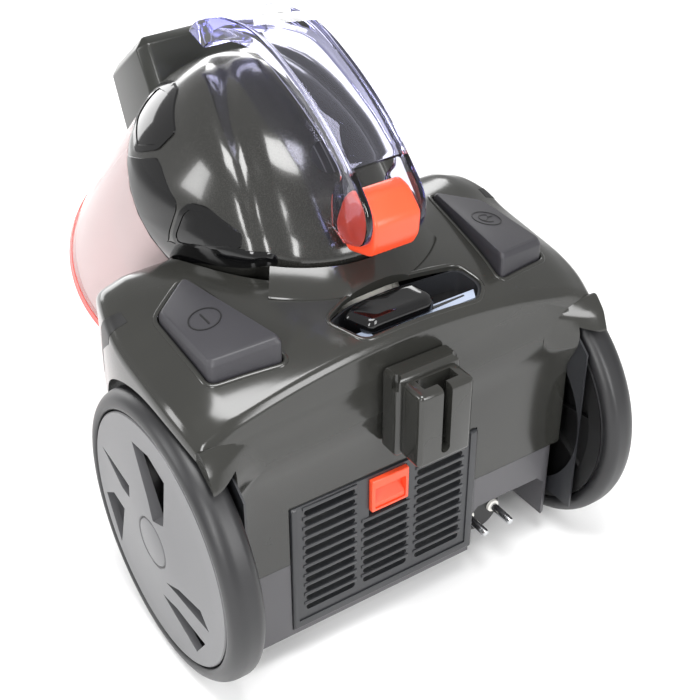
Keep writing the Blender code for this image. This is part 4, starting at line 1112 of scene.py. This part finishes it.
# Hidden pieces keep the CAD mesh and get a real finish.
betterSkins = (
    (filterFelt, ("exhaust_filter", "motor_filter")), (boardGreen, ("control_board",)),
    (absBlackAndPaintedShade, (
        "power_bracket", "rewind_bracket", "power_switch", "motor_housing", "fan_motor", "cord_reel",
    )),
    (steelPlated, (
        "power_spring", "rewind_spring", "motor_shaft", "reel_axle", "left_axle", "right_axle", "caster_axle",
    )),
    (absShroud, ("motor_fan",)), (cordSkin, ("wound_cord",)), (absDarkSatin, ("caster_fork",)),
    (tpeTyre, ("caster_wheel",)), (rubberSeal, ("outlet_seal", "lid_gasket", "motor_mount")),
)
for material, nodes in betterSkins:
    for node in nodes:
        for place in bpy.data.objects[node].material_slots:
            place.material = material
print("carried nodes dressed")

half = 4000
floorCorners = [(-half, -half, 0), (half, -half, 0), (half, half, 0), (-half, half, 0)]
floor = makeMesh("studioFloor", floorCorners, [(0, 1, 2, 3)])
paper, tree, shader = newMaterial("matt paper sweep", "#f4f4f4", Roughness=0.85)
floor.data.materials.append(paper)


def addPanel(name, place, size, power):
    data = bpy.data.lights.new(name, "AREA")
    data.shape = "RECTANGLE"
    data.size, data.size_y = size[0] / 1000, size[1] / 1000
    data.energy = power
    light = bpy.data.objects.new(name, data)
    bpy.context.scene.collection.objects.link(light)
    light.location = toWorld(place)
    light.rotation_euler = (toWorld((0, -70, 120)) - light.location).to_track_quat("-Z", "Y").to_euler()
    return light


addPanel("topSoftbox", (200, 150, 1350), (700, 500), 14)
addPanel("leftSoftbox", (1250, -500, 700), (380, 600), 6)
addPanel("frontSoftbox", (-100, -1200, 300), (1100, 420), 6)
addPanel("frontRightSoftbox", (-760, -1150, 720), (480, 360), 3)
addPanel("rearLeftStrip", (920, 680, 650), (240, 700), 7)
addPanel("rearRightStrip", (-230, 1140, 700), (380, 820), 9)

world = bpy.data.worlds.new("studio")
world.use_nodes = True
world.node_tree.nodes["Background"].inputs["Color"].default_value = linearColour("#ffffff")
world.node_tree.nodes["Background"].inputs["Strength"].default_value = 0.6
bpy.context.scene.world = world
bpy.context.scene.view_settings.view_transform = "Standard"
bpy.context.scene.view_settings.look = "None"

view = {"azimuth": 146.337, "elevation": 35.787, "lens": 70.975, "place": (0.353655, 0.614526, 0.6102)}
data = bpy.data.cameras.new("camera")
data.lens = view["lens"]
data.sensor_width = 36
camera = bpy.data.objects.new("camera", data)
bpy.context.scene.collection.objects.link(camera)
camera.location = Vector(view["place"])
a, e = math.radians(view["azimuth"]), math.radians(view["elevation"])
towards = Vector((math.sin(a) * math.cos(e), -math.cos(a) * math.cos(e), math.sin(e)))
camera.rotation_euler = (-towards).to_track_quat("-Z", "Y").to_euler()
bpy.context.scene.camera = camera
print("studio made")
